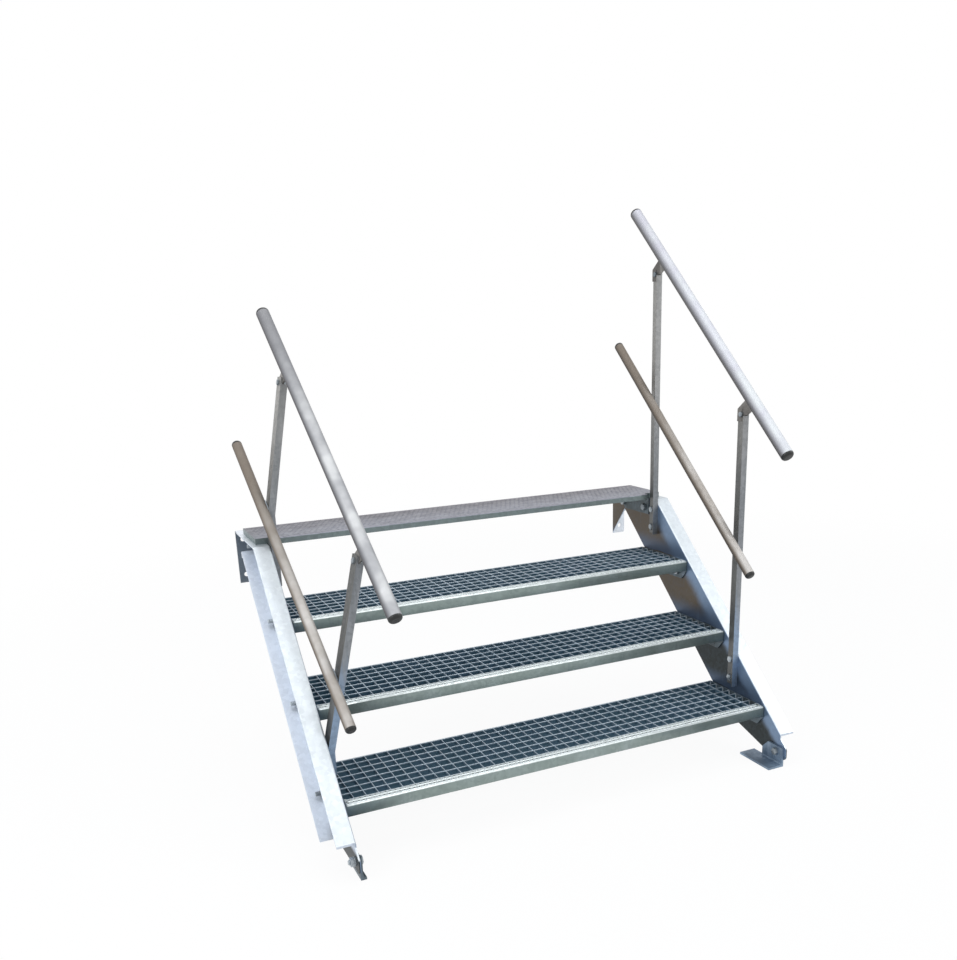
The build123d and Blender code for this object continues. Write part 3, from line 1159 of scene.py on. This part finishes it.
@dataclass
class Landing(SubAssembly):
    """The landing plate with its pressed anti-slip studs and the brackets below it."""

    plate: bpy.types.Material
    bracket: bpy.types.Material
    top: float = 686.0
    front: float = TREAD_COUNT * GOING
    depth: float = 182.0
    half: float = 632.0
    cut: tuple[float, float] = (578.0, 18.0)
    plate_eased: float = 0.8
    bracket_eased: float = 0.6
    rows: int = 11
    pitch: float = 15.0
    edge_margin: float = 6.0
    side_margin: float = 10.0
    stud_radius: float = 3.6
    stud_height: float = 0.5
    stud_sunk: float = 0.4
    stud_steps: int = 10

    def build(self) -> None:
        """Dress the plate and its brackets, and add the studs."""
        self.dress("landing_plate", self.plate, self.plate_eased)
        self.dress("landing_brackets", self.bracket, self.bracket_eased)
        mesh = bmesh.new()
        for x, y in self.stud_places():
            join(mesh, self.stud(), Matrix.Translation((x, y, self.top)))
        self.make("landing_plate_studs", mesh, self.plate, Slot.LANDING)

    def stud_places(self) -> list[tuple[float, float]]:
        """The studs, in rows that are offset by half a pitch.

        Returns:
            X and Y of each stud.
        """
        places = []
        spacing = (self.depth - 2 * self.edge_margin) / self.rows
        cut_x, cut_y = self.cut
        for row in range(self.rows):
            y = self.front + self.edge_margin + (row + 0.5) * spacing
            half = self.half if y > self.front + cut_y + self.edge_margin else cut_x
            count = int(2 * (half - self.side_margin) / self.pitch)
            offset = (row % 2 - 0.5) * self.pitch / 2
            for column in range(count):
                places.append(((column - (count - 1) / 2) * self.pitch + offset, y))
        return places

    def stud(self) -> bmesh.types.BMesh:
        """Make a low stud with a sunk middle.

        Returns:
            The mesh, standing on the XY plane.
        """
        radius = self.stud_radius
        height = self.stud_height
        profile = [(-self.stud_sunk, radius), (height * 0.6, radius * 0.86), (height, radius * 0.6)]
        profile += [(height * 0.8, radius * 0.4), (height * 0.1, radius * 0.3), (0.0, 0.0)]
        mesh = spun(profile, self.stud_steps)
        bmesh.ops.rotate(mesh, verts=mesh.verts, matrix=Matrix.Rotation(-math.pi / 2, 3, "Y"))
        return mesh


@dataclass(frozen=True)
class BoltSize:
    """Sizes of a hexagon bolt."""

    radius: float
    flats: float
    head: float
    nut: float
    pitch: float


M12 = BoltSize(6.0, 19.0, 7.5, 10.0, 1.75)
M10 = BoltSize(5.0, 17.0, 6.4, 8.0, 1.5)
M8 = BoltSize(4.0, 13.0, 5.3, 6.5, 1.25)


@dataclass(frozen=True)
class BoltPlace:
    """A bolt's head face and nut face along X, with its place in the side view."""

    x_head: float
    x_nut: float
    y: float
    z: float


@dataclass
class Fasteners(SubAssembly):
    """Hexagon bolts with washers, nuts and cut threads."""

    zinc: bpy.types.Material
    chamfer: float = 0.07
    washer: float = 2.0
    washer_margin: float = 2.0
    washer_eased: float = 0.4
    washer_steps: int = 28
    nut_turn_factor: float = 1.7
    nut_turn_start: float = 11.0
    spare: float = 4.0
    tread_spare: float = 13.0
    thread_inside: float = 1.0
    thread_plain: float = 0.6
    thread_root: float = 0.86
    thread_tip: float = 0.7
    thread_steps: int = 20

    def hexagon(self, flats: float, height: float, turn: float) -> bmesh.types.BMesh:
        """Make a hexagon prism along X with a turned chamfer on its far side.

        Args:
            flats: Its width across flats.
            height: Its length along X.
            turn: Its turn about X in degrees.

        Returns:
            The mesh, from x = 0 to its height.
        """
        mesh = bmesh.new()
        placed = Matrix.Rotation(math.radians(turn), 4, "X") @ Matrix.Rotation(math.pi / 2, 4, "Y")
        bmesh.ops.create_circle(
            mesh, cap_ends=True, segments=6, radius=flats / math.sqrt(3), matrix=placed
        )
        made = bmesh.ops.extrude_face_region(mesh, geom=list(mesh.faces))["geom"]
        moved = [item for item in made if isinstance(item, bmesh.types.BMVert)]
        bmesh.ops.translate(mesh, verts=moved, vec=(height, 0.0, 0.0))
        far = [face for face in mesh.faces if all(vert in moved for vert in face.verts)]
        rim = [edge for face in far for edge in face.edges]
        bmesh.ops.bevel(
            mesh,
            geom=rim,
            offset=flats * self.chamfer,
            segments=2,
            profile=0.5,
            affect="EDGES",
            material=-1,
        )
        bmesh.ops.recalc_face_normals(mesh, faces=mesh.faces)
        return mesh

    def bolt(self, size: BoltSize, place: BoltPlace, turn: float, spare: float) -> bmesh.types.BMesh:
        """Make a bolt as it stands on the right, with its head towards the middle of the stair.

        Args:
            size: The bolt's sizes.
            place: Where it goes.
            turn: The turn of its head in degrees.
            spare: Length of the thread behind its nut.

        Returns:
            The mesh in stair millimetres.
        """
        mesh = bmesh.new()
        axis = Matrix.Translation((place.x_head, place.y, place.z))
        join(mesh, self.hexagon(size.flats, size.head, turn), axis @ Matrix.Rotation(math.pi, 4, "Z"))
        outer = size.flats / 2 + self.washer_margin
        grip = place.x_nut - place.x_head
        washer = [
            (0.0, size.radius),
            (0.0, outer),
            (self.washer - self.washer_eased, outer),
            (self.washer, outer - self.washer_eased),
            (self.washer, size.radius),
        ]
        join(mesh, spun(washer, self.washer_steps), axis @ Matrix.Translation((grip, 0.0, 0.0)))
        nut_start = grip + self.washer
        nut = self.hexagon(size.flats, size.nut, turn * self.nut_turn_factor + self.nut_turn_start)
        join(mesh, nut, axis @ Matrix.Translation((nut_start, 0.0, 0.0)))
        join(mesh, self.thread(size, nut_start + size.nut + spare, spare), axis)
        return mesh

    def thread(self, size: BoltSize, tip: float, spare: float) -> bmesh.types.BMesh:
        """Make the thread that shows behind a nut.

        Args:
            size: The bolt's sizes.
            tip: Where the bolt ends, along X.
            spare: Length of the thread behind the nut.

        Returns:
            The mesh, along X.
        """
        turns = int((spare + self.thread_inside) / size.pitch)
        start = tip - turns * size.pitch - self.thread_plain
        root = size.radius * self.thread_root
        profile = [(start, root)]
        for ridge in range(turns):
            profile.append((start + (ridge + 0.5) * size.pitch, size.radius))
            profile.append((start + (ridge + 1) * size.pitch, root))
        profile += [(tip, size.radius * self.thread_tip), (tip, 0.0)]
        return spun(profile, self.thread_steps)


@dataclass
class StringerBolts(Fasteners):
    """The bolts through both stringers."""

    tread_hole_ys: tuple[float, float] = (45.0, 165.0)
    tread_hole_drop: float = 38.0
    post_hole: float = 26.0
    right_post_steps: tuple[float, float] = (20.0, 75.0)
    left_post_steps: tuple[float, float] = (14.0, 44.0)
    foot_place: tuple[float, float] = (-60.0, 61.0)
    turn_start: float = 5.0
    turn_step: float = 17.0

    def build(self) -> None:
        """Make the tread, post and foot bolts of both sides."""
        for side in Side:
            self.build_group(side, "tread_bolts", M12, END_PLATE, self.tread_places(), self.tread_spare)
            self.build_group(side, "post_bolts", M10, SHEET, self.post_places(side), self.spare)
            self.build_group(side, "foot_bolt", M12, FOOT_PLATE, [self.foot_place], self.spare)

    def tread_places(self) -> list[tuple[float, float]]:
        """Places of the tread bolts in the side view.

        Returns:
            Y and Z of each bolt.
        """
        places = []
        for number in range(TREAD_COUNT + 1):
            z = (number + 1) * RISE - self.tread_hole_drop
            places += [(number * GOING + y, z) for y in self.tread_hole_ys]
        return places

    def post_places(self, side: Side) -> list[tuple[float, float]]:
        """Places of the post bolts in the side view.

        Args:
            side: The side of the stair.

        Returns:
            Y and Z of each bolt.
        """
        steps = self.right_post_steps if side is Side.RIGHT else self.left_post_steps
        feet = zip(POST_FRONTS, POST_FEET)
        return [(front + self.post_hole, foot + step) for front, foot in feet for step in steps]

    def build_group(
        self,
        side: Side,
        group: str,
        size: BoltSize,
        plate: float,
        places: Iterable[tuple[float, float]],
        spare: float,
    ) -> None:
        """Make the bolts of one node.

        Args:
            side: The side of the stair.
            group: The group's word in node names.
            size: The bolts' sizes.
            plate: Thickness of the piece that they hold against the web.
            places: Y and Z of each bolt.
            spare: Length of the thread behind their nuts.
        """
        mesh = bmesh.new()
        mirrored = Matrix.Diagonal((side.value, 1.0, 1.0, 1.0))
        for index, (y, z) in enumerate(places):
            place = BoltPlace(HALF_WIDTH - plate, HALF_WIDTH + SHEET, y, z)
            turn = self.turn_step * index + self.turn_start * side.value
            join(mesh, self.bolt(size, place, turn, spare), mirrored)
        node = f"{group}_{side.word}"
        self.make(f"{node}_detail", mesh, self.zinc, Slot.BOLT, [node])


@dataclass(frozen=True)
class RailLines:
    """One side's rails, each from its high end to its low end, and how far its two posts lean in."""

    handrail: tuple[Point, Point]
    knee_rail: tuple[Point, Point]
    leans: tuple[float, float]


RIGHT_LINES = RailLines(
    handrail=((593.5, 669.2, 1509.0), (593.5, -44.7, 860.3)),
    knee_rail=((568.55, 719.8, 1132.3), (568.55, 45.8, 534.5)),
    leans=(0.0, 0.0),
)
LEFT_LINES = RailLines(
    handrail=((-537.9, 659.6, 1254.0), (-464.7, -44.1, 598.9)),
    knee_rail=((-626.1, 732.7, 920.5), (-563.6, 25.9, 334.0)),
    leans=(0.235, 0.195),
)


@dataclass
class Railing(SubAssembly):
    """One side's handrail, knee rail, posts, rail heads, bolts and caps."""

    side: Side
    lines: RailLines
    tube: bpy.types.Material
    knee_tube: bpy.types.Material
    angle: bpy.types.Material
    head: bpy.types.Material
    plastic: bpy.types.Material
    weld: bpy.types.Material
    bolts: Fasteners
    bends: tuple[float, float] = (250.0, 750.0)
    wide: float = 40.0
    narrow: float = 18.0
    post_sheet: float = 4.0
    root_radius: float = 3.5
    toe_radius: float = 1.8
    head_sheet: float = 5.0
    head_eased: float = 0.8
    head_bolt_y: float = 20.0
    head_bolt_turn: float = 21.0
    head_reach: float = 55.0
    head_ends: tuple[float, float] = (-13.0, 27.0)
    head_rise: float = 14.0
    leg_stop: float = 3.0
    handrail_radius: float = 16.85
    handrail_wall: float = 2.6
    knee_radius: float = 13.45
    knee_wall: float = 2.3
    tube_eased: float = 0.4
    tube_steps: int = 48
    cap: float = 9.0
    cap_round: float = 7.5
    cap_steps: int = 40
    cap_mark: float = 1.6
    cap_mark_depth: float = 0.5
    plug: float = 14.0
    plug_gap: float = 0.2
    plug_taper: tuple[float, float] = (2.0, 1.2)
    head_weld: float = 2.2
    head_weld_sunk: float = 0.6
    head_weld_aside: float = 3.0
    knee_weld: float = 2.0
    knee_weld_sunk: float = 0.4
    knee_weld_aside: float = 0.8
    knee_weld_half: float = 9.0
    crossed_weld_aside: float = 6.0
    crossed_weld_half: float = 17.0

    def build(self) -> None:
        """Make the railing."""
        word = self.side.word
        handrail = (self.handrail_radius, self.handrail_wall)
        knee_rail = (self.knee_radius, self.knee_wall)
        self.build_tube("handrail", self.lines.handrail, handrail, self.tube)
        self.build_tube("knee_rail", self.lines.knee_rail, knee_rail, self.knee_tube)
        bolts = bmesh.new()
        welds = bmesh.new()
        for index, place in enumerate(("front", "back")):
            bolt, up = self.head_line(POST_FRONTS[index])
            self.build_post(index, bolt[1], f"post_{word}_{place}")
            self.dress(f"rail_head_{word}_{place}", self.head, self.head_eased)
            self.add_head_bolt(bolts, index, bolt)
            self.add_welds(welds, index, bolt, up)
        node = f"head_bolts_{word}"
        self.make(f"{node}_detail", bolts, self.bolts.zinc, Slot.BOLT, [node])
        self.make(f"railing_{word}_welds", welds, self.weld, Slot.TUBE)

    @property
    def mirrored(self) -> Matrix:
        """The matrix that takes a right-hand shape to this side."""
        return Matrix.Diagonal((self.side.value, 1.0, 1.0, 1.0))

    def build_tube(
        self,
        kind: str,
        line: tuple[Point, Point],
        size: tuple[float, float],
        finish: bpy.types.Material,
    ) -> None:
        """Make a rail with its two end caps.

        Args:
            kind: The rail's word in node names.
            line: Its two ends, over the caps.
            size: Its outer radius and the thickness of its wall.
            finish: The tube's material.
        """
        radius, wall = size
        ends = [Vector(point) for point in line]
        along = (ends[1] - ends[0]).normalized()
        high, low = ends[0] + along * self.cap, ends[1] - along * self.cap
        length = (low - high).length
        inner = radius - wall
        eased = self.tube_eased
        profile = [(0.0, inner), (0.0, radius - eased), (eased, radius)]
        profile += [(length - eased, radius), (length, radius - eased), (length, inner)]
        mesh = bmesh.new()
        join(mesh, spun(profile, self.tube_steps, closed=True), aimed(high, low))
        node = f"{kind}_{self.side.word}"
        self.make(f"{node}_tube", mesh, finish, Slot.TUBE, [node])
        caps = bmesh.new()
        for tip, far in ((high, low), (low, high)):
            join(caps, self.cap_shape(radius, inner), aimed(tip, tip + (tip - far)))
        node = f"{kind}_caps_{self.side.word}"
        self.make(f"{node}_moulded", caps, self.plastic, Slot.CAP, [node])

    def cap_shape(self, radius: float, inner: float) -> bmesh.types.BMesh:
        """Make an end cap: a tapered plug, a rim and a dome with a moulding mark.

        Args:
            radius: The tube's outer radius.
            inner: Its inner radius.

        Returns:
            The mesh, with its dome along X.
        """
        plug = inner - self.plug_gap
        taper, drop = self.plug_taper
        profile = [(-self.plug, 0.0), (-self.plug, plug - drop), (taper - self.plug, plug)]
        profile += [(0.0, plug), (0.0, radius - 0.3), (0.4, radius)]
        flat = radius - self.cap_round
        for degrees in range(0, 91, 15):
            turn = math.radians(degrees)
            x = self.cap - self.cap_round * (1 - math.sin(turn))
            profile.append((x, flat + self.cap_round * math.cos(turn)))
        profile += [(self.cap - self.cap_mark_depth, self.cap_mark), (self.cap, 0.0)]
        return spun(profile, self.cap_steps)

    def head_line(self, front: float) -> tuple[tuple[float, float], tuple[float, float]]:
        """Find the head bolt under the handrail, in the side view.

        Args:
            front: The front edge of the post.

        Returns:
            The bolt's Y and Z, and the direction from it to the handrail.
        """
        start, end = self.lines.handrail
        run = Vector((end[1] - start[1], end[2] - start[2])).normalized()
        up = (run.y, -run.x)
        along = (front + self.head_bolt_y - start[1] + self.head_reach * up[0]) / run.x
        y = start[1] + along * run.x - self.head_reach * up[0]
        z = start[2] + along * run.y - self.head_reach * up[1]
        return (y, z), up

    def lean_in(self, index: int) -> Matrix:
        """The turn of a head plate about the bend of its post.

        Args:
            index: 0 for the front post and 1 for the back one.

        Returns:
            The matrix, for the right-hand shape.
        """
        pivot = Matrix.Translation((HALF_WIDTH - self.post_sheet, 0.0, self.bends[index]))
        lean = math.atan(self.lines.leans[index])
        return pivot @ Matrix.Rotation(-lean, 4, "Y") @ pivot.inverted()

    def build_post(self, index: int, bolt_z: float, node: str) -> None:
        """Make an angle post with a root fillet, which leans in above its bend.

        Args:
            index: 0 for the front post and 1 for the back one.
            bolt_z: Height of its head bolt.
            node: The CAD node that it replaces.
        """
        front = POST_FRONTS[index]
        foot = POST_FEET[index]
        bend = self.bends[index]
        inner = HALF_WIDTH - self.post_sheet
        tip = HALF_WIDTH - self.narrow
        outline = [
            (HALF_WIDTH, front),
            (HALF_WIDTH, front + self.wide),
            (inner, front + self.wide),
            (inner, front + self.post_sheet),
            (tip, front + self.post_sheet),
            (tip, front),
        ]
        mesh = bmesh.new()
        corners = [mesh.verts.new((x, y, foot)) for x, y in outline]
        mesh.faces.new(corners)
        for number, radius in ((3, self.root_radius), (2, self.toe_radius), (4, self.toe_radius)):
            bmesh.ops.bevel(
                mesh,
                geom=[corners[number]],
                offset=radius,
                segments=3,
                profile=0.5,
                affect="VERTICES",
                material=-1,
            )
        faces = list(mesh.faces)
        geometry = faces + list(mesh.edges) + list(mesh.verts)
        bmesh.ops.bisect_plane(mesh, geom=geometry, plane_co=(inner, 0.0, 0.0), plane_no=(1.0, 0.0, 0.0))
        lean = self.lines.leans[index]
        high = bolt_z - self.leg_stop
        more = self.leg_stop + self.head_rise
        faces = self.raise_faces(mesh, list(mesh.faces), (0.0, 0.0, bend - foot))
        faces = self.raise_faces(mesh, faces, (-lean * (high - bend), 0.0, high - bend))
        limit = inner - lean * (high - bend) - 0.1
        wide_leg = [face for face in faces if face.calc_center_median().x > limit]
        self.raise_faces(mesh, wide_leg, (-lean * more, 0.0, more))
        bmesh.ops.recalc_face_normals(mesh, faces=mesh.faces)
        placed = bmesh.new()
        join(placed, mesh, self.mirrored)
        self.make(f"{node}_angle", placed, self.angle, Slot.ANGLE, [node])

    @staticmethod
    def raise_faces(mesh: bmesh.types.BMesh, faces: list, move: Point) -> list:
        """Extrude faces along a direction.

        Args:
            mesh: The mesh.
            faces: The faces that move.
            move: How far they move.

        Returns:
            The faces at the new end.
        """
        made = bmesh.ops.extrude_face_region(mesh, geom=faces)["geom"]
        moved = [item for item in made if isinstance(item, bmesh.types.BMVert)]
        bmesh.ops.translate(mesh, verts=moved, vec=move)
        return [item for item in made if isinstance(item, bmesh.types.BMFace)]

    def add_head_bolt(self, mesh: bmesh.types.BMesh, index: int, bolt: tuple[float, float]) -> None:
        """Add the bolt that holds a rail head to its post.

        Args:
            mesh: The mesh that it goes into.
            index: 0 for the front post and 1 for the back one.
            bolt: The bolt's Y and Z.
        """
        bend = self.bends[index]
        stretch = math.hypot(1.0, self.lines.leans[index])
        inner = HALF_WIDTH - self.post_sheet - self.head_sheet
        place = BoltPlace(inner, HALF_WIDTH, bolt[0], bend + (bolt[1] - bend) * stretch)
        shape = self.bolts.bolt(M8, place, self.head_bolt_turn, self.bolts.spare)
        turned = Matrix.Identity(4)
        if self.side is Side.LEFT:
            centre = HALF_WIDTH - (self.post_sheet + self.head_sheet) / 2
            middle = Matrix.Translation((centre, place.y, place.z))
            turned = middle @ Matrix.Rotation(math.pi, 4, "Z") @ middle.inverted()
        join(mesh, shape, self.mirrored @ self.lean_in(index) @ turned)

    def add_welds(
        self,
        mesh: bmesh.types.BMesh,
        index: int,
        bolt: tuple[float, float],
        up: tuple[float, float],
    ) -> None:
        """Add the beads between a head plate and the handrail, and between a post and the knee rail.

        Args:
            mesh: The mesh that they go into.
            index: 0 for the front post and 1 for the back one.
            bolt: The head bolt's Y and Z.
            up: Direction from the bolt to the handrail in the side view.
        """
        bend = self.bends[index]
        stretch = math.hypot(1.0, self.lines.leans[index])
        z = bend + (bolt[1] - bend) * stretch
        middle = HALF_WIDTH - self.post_sheet - self.head_sheet / 2
        placed = self.mirrored @ self.lean_in(index)
        high, low = [Vector(point) for point in self.lines.handrail]
        along = (low - high).normalized()
        centre = placed @ Vector((middle, bolt[0] + self.head_reach * up[0], z + self.head_reach * up[1]))
        centre = high + along * (centre - high).dot(along)
        rise = (placed.to_3x3() @ Vector((0.0, up[0], up[1]))).normalized()
        across = along.cross(rise).normalized()
        for sign in (-1, 1):
            root = centre - rise * (self.handrail_radius - self.head_weld_sunk)
            root += across * sign * self.head_weld_aside
            start, end = [root + along * end for end in self.head_ends]
            add_bead(mesh, start, end, self.head_weld)
        self.add_knee_weld(mesh, index)

    def add_knee_weld(self, mesh: bmesh.types.BMesh, index: int) -> None:
        """Add the beads between a post and the knee rail.

        Args:
            mesh: The mesh that they go into.
            index: 0 for the front post and 1 for the back one.
        """
        high, low = [Vector(point) for point in self.lines.knee_rail]
        along = (low - high).normalized()
        middle = self.post_sheet / 2 if self.side is Side.RIGHT else self.wide / 2
        centre = high + along * ((POST_FRONTS[index] + middle - high.y) / along.y)
        touch = centre + Vector((self.knee_radius - self.knee_weld_sunk, 0.0, 0.0))
        if self.side is Side.RIGHT:
            aside = Vector((0.0, self.post_sheet / 2 + self.knee_weld_aside, 0.0))
            reach = Vector((0.0, along.y, along.z)) * self.knee_weld_half
        else:
            aside = along.cross(Vector((1.0, 0.0, 0.0))).normalized() * self.crossed_weld_aside
            aside -= Vector((self.knee_weld_aside, 0.0, 0.0))
            reach = along * self.crossed_weld_half
        for sign in (-1.0, 1.0):
            offset = Vector((aside.x, aside.y * sign, aside.z * sign))
            add_bead(mesh, touch + offset - reach, touch + offset + reach, self.knee_weld)


@dataclass(frozen=True)
class Lamp:
    """A soft square lamp: its place and its aim, its width in metres and its power in watts."""

    name: str
    place: Point
    target: Point
    size: float
    power: float

    def build(self) -> None:
        """Hang the lamp and aim it."""
        data = bpy.data.lights.new(self.name, "AREA")
        data.shape = "SQUARE"
        data.size = self.size
        data.energy = self.power
        lamp = bpy.data.objects.new(self.name, data)
        lamp.location = self.place
        aim = Vector(self.target) - Vector(self.place)
        lamp.rotation_euler = aim.to_track_quat("-Z", "Y").to_euler()
        bpy.context.scene.collection.objects.link(lamp)


@dataclass
class Studio:
    """The floor, the lamps and the surroundings, in metres in the shared frame."""

    floor_middle: Point = (-0.6, -0.4, -0.570)
    floor_half: float = 40.0
    floor_colour: Colour = (0.92, 0.92, 0.92)
    white: Colour = (1.0, 1.0, 1.0)
    near_glow: float = 0.93
    fade: tuple[float, float] = (1.2, 3.6)
    ambient: Colour = (0.88, 0.93, 1.0)
    ambient_strength: float = 0.5
    lamps: tuple[Lamp, ...] = (
        Lamp("overhead_lamp", (-0.7, -0.9, 4.2), (-0.6, -0.4, -0.2), 4.0, 88.0),
        Lamp("left_lamp", (-4.2, -1.2, 2.2), (-0.9, -0.4, -0.1), 2.6, 60.0),
        Lamp("right_lamp", (2.6, -2.4, 2.6), (-0.4, -0.5, 0.2), 1.6, 36.0),
    )

    def build(self) -> None:
        """Make the studio."""
        self.build_floor()
        self.build_surroundings()
        for lamp in self.lamps:
            lamp.build()

    def build_floor(self) -> None:
        """Make the pale floor, which keeps the stair's shadow and fades to white further off."""
        mesh = bmesh.new()
        matrix = Matrix.Translation(self.floor_middle)
        bmesh.ops.create_grid(mesh, x_segments=1, y_segments=1, size=self.floor_half, matrix=matrix)
        data = bpy.data.meshes.new("floor")
        mesh.to_mesh(data)
        mesh.free()
        floor = bpy.data.objects.new("floor", data)
        bpy.context.scene.collection.objects.link(floor)
        shader = Shader.of_material("pale_floor")
        away = shader.node("ShaderNodeVectorMath", {"operation": "LENGTH"}, {0: shader.place}, "Value")
        share = away.ramp(*self.fade) * (1.0 - self.near_glow) + self.near_glow
        matt = shader.node("ShaderNodeBsdfDiffuse", None, {"Color": self.floor_colour})
        glow = shader.node("ShaderNodeEmission", None, {"Color": self.white, "Strength": 1.0})
        parts = {0: shader.seen_directly() * share, 1: matt, 2: glow}
        surface = shader.node("ShaderNodeMixShader", None, parts)
        shader.node("ShaderNodeOutputMaterial", None, {"Surface": surface})
        data.materials.append(shader.owner)

    def build_surroundings(self) -> None:
        """Light the stair softly from all round, and show white behind it."""
        world = bpy.data.worlds.new("white_studio")
        bpy.context.scene.world = world
        shader = Shader(world)
        soft = {"Color": self.ambient, "Strength": self.ambient_strength}
        white = {"Color": self.white, "Strength": 1.0}
        parts = {
            0: shader.seen_directly(),
            1: shader.node("ShaderNodeBackground", None, soft),
            2: shader.node("ShaderNodeBackground", None, white),
        }
        surface = shader.node("ShaderNodeMixShader", None, parts)
        shader.node("ShaderNodeOutputWorld", None, {"Surface": surface})


@dataclass
class PhotoCamera:
    """The camera at the photograph's viewing angle."""

    place: Point = (-1.70644, -2.71504, 0.59974)
    angles: Point = (72.8755, 1.7760, -25.2260)
    focal_pixels: float = 951.72
    centre: tuple[float, float] = (498.08, 621.47)
    picture: tuple[float, float] = (957.0, 960.0)
    sensor: float = 36.0
    clip_end: float = 200.0

    def build(self) -> None:
        """Make the camera and use it."""
        data = bpy.data.cameras.new("photo_camera")
        width, height = self.picture
        long_side = max(width, height)
        data.sensor_width = self.sensor
        data.lens = self.focal_pixels * self.sensor / long_side
        data.shift_x = (width / 2 - self.centre[0]) / long_side
        data.shift_y = (self.centre[1] - height / 2) / long_side
        data.clip_end = self.clip_end
        camera = bpy.data.objects.new("photo_camera", data)
        camera.location = self.place
        camera.rotation_euler = [math.radians(angle) for angle in self.angles]
        bpy.context.scene.collection.objects.link(camera)
        scene = bpy.context.scene
        scene.camera = camera
        scene.view_settings.view_transform = "Standard"


def main() -> None:
    """Build the stair's pieces in order, then the studio and the camera."""
    logging.basicConfig(level=logging.INFO, format="%(message)s")
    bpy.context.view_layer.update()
    bars = GRATING_FINISH.material()
    strip = NOSING_FINISH.material()
    plate = PLATE_FINISH.material()
    weld = WELD_FINISH.material()
    Stringers(STRINGER_FINISH.material(), FOOT_FINISH.material(), plate).build()
    for number in range(1, TREAD_COUNT + 1):
        Tread(number, bars, strip, plate, weld).build()
    Landing(LANDING_FINISH.material(), plate).build()
    bolts = StringerBolts(BOLT_FINISH.material())
    bolts.build()
    knee_tube, angle = KNEE_RAIL_FINISH.material(), ANGLE_FINISH.material()
    head, plastic = HEAD_FINISH.material(), CAP_FINISH.material()
    shared = (knee_tube, angle, head, plastic, weld, bolts)
    Railing(Side.RIGHT, RIGHT_LINES, RIGHT_HANDRAIL_FINISH.material(), *shared).build()
    Railing(Side.LEFT, LEFT_LINES, LEFT_HANDRAIL_FINISH.material(), *shared).build()
    Studio().build()
    PhotoCamera().build()


if __name__ == "__main__":
    main()
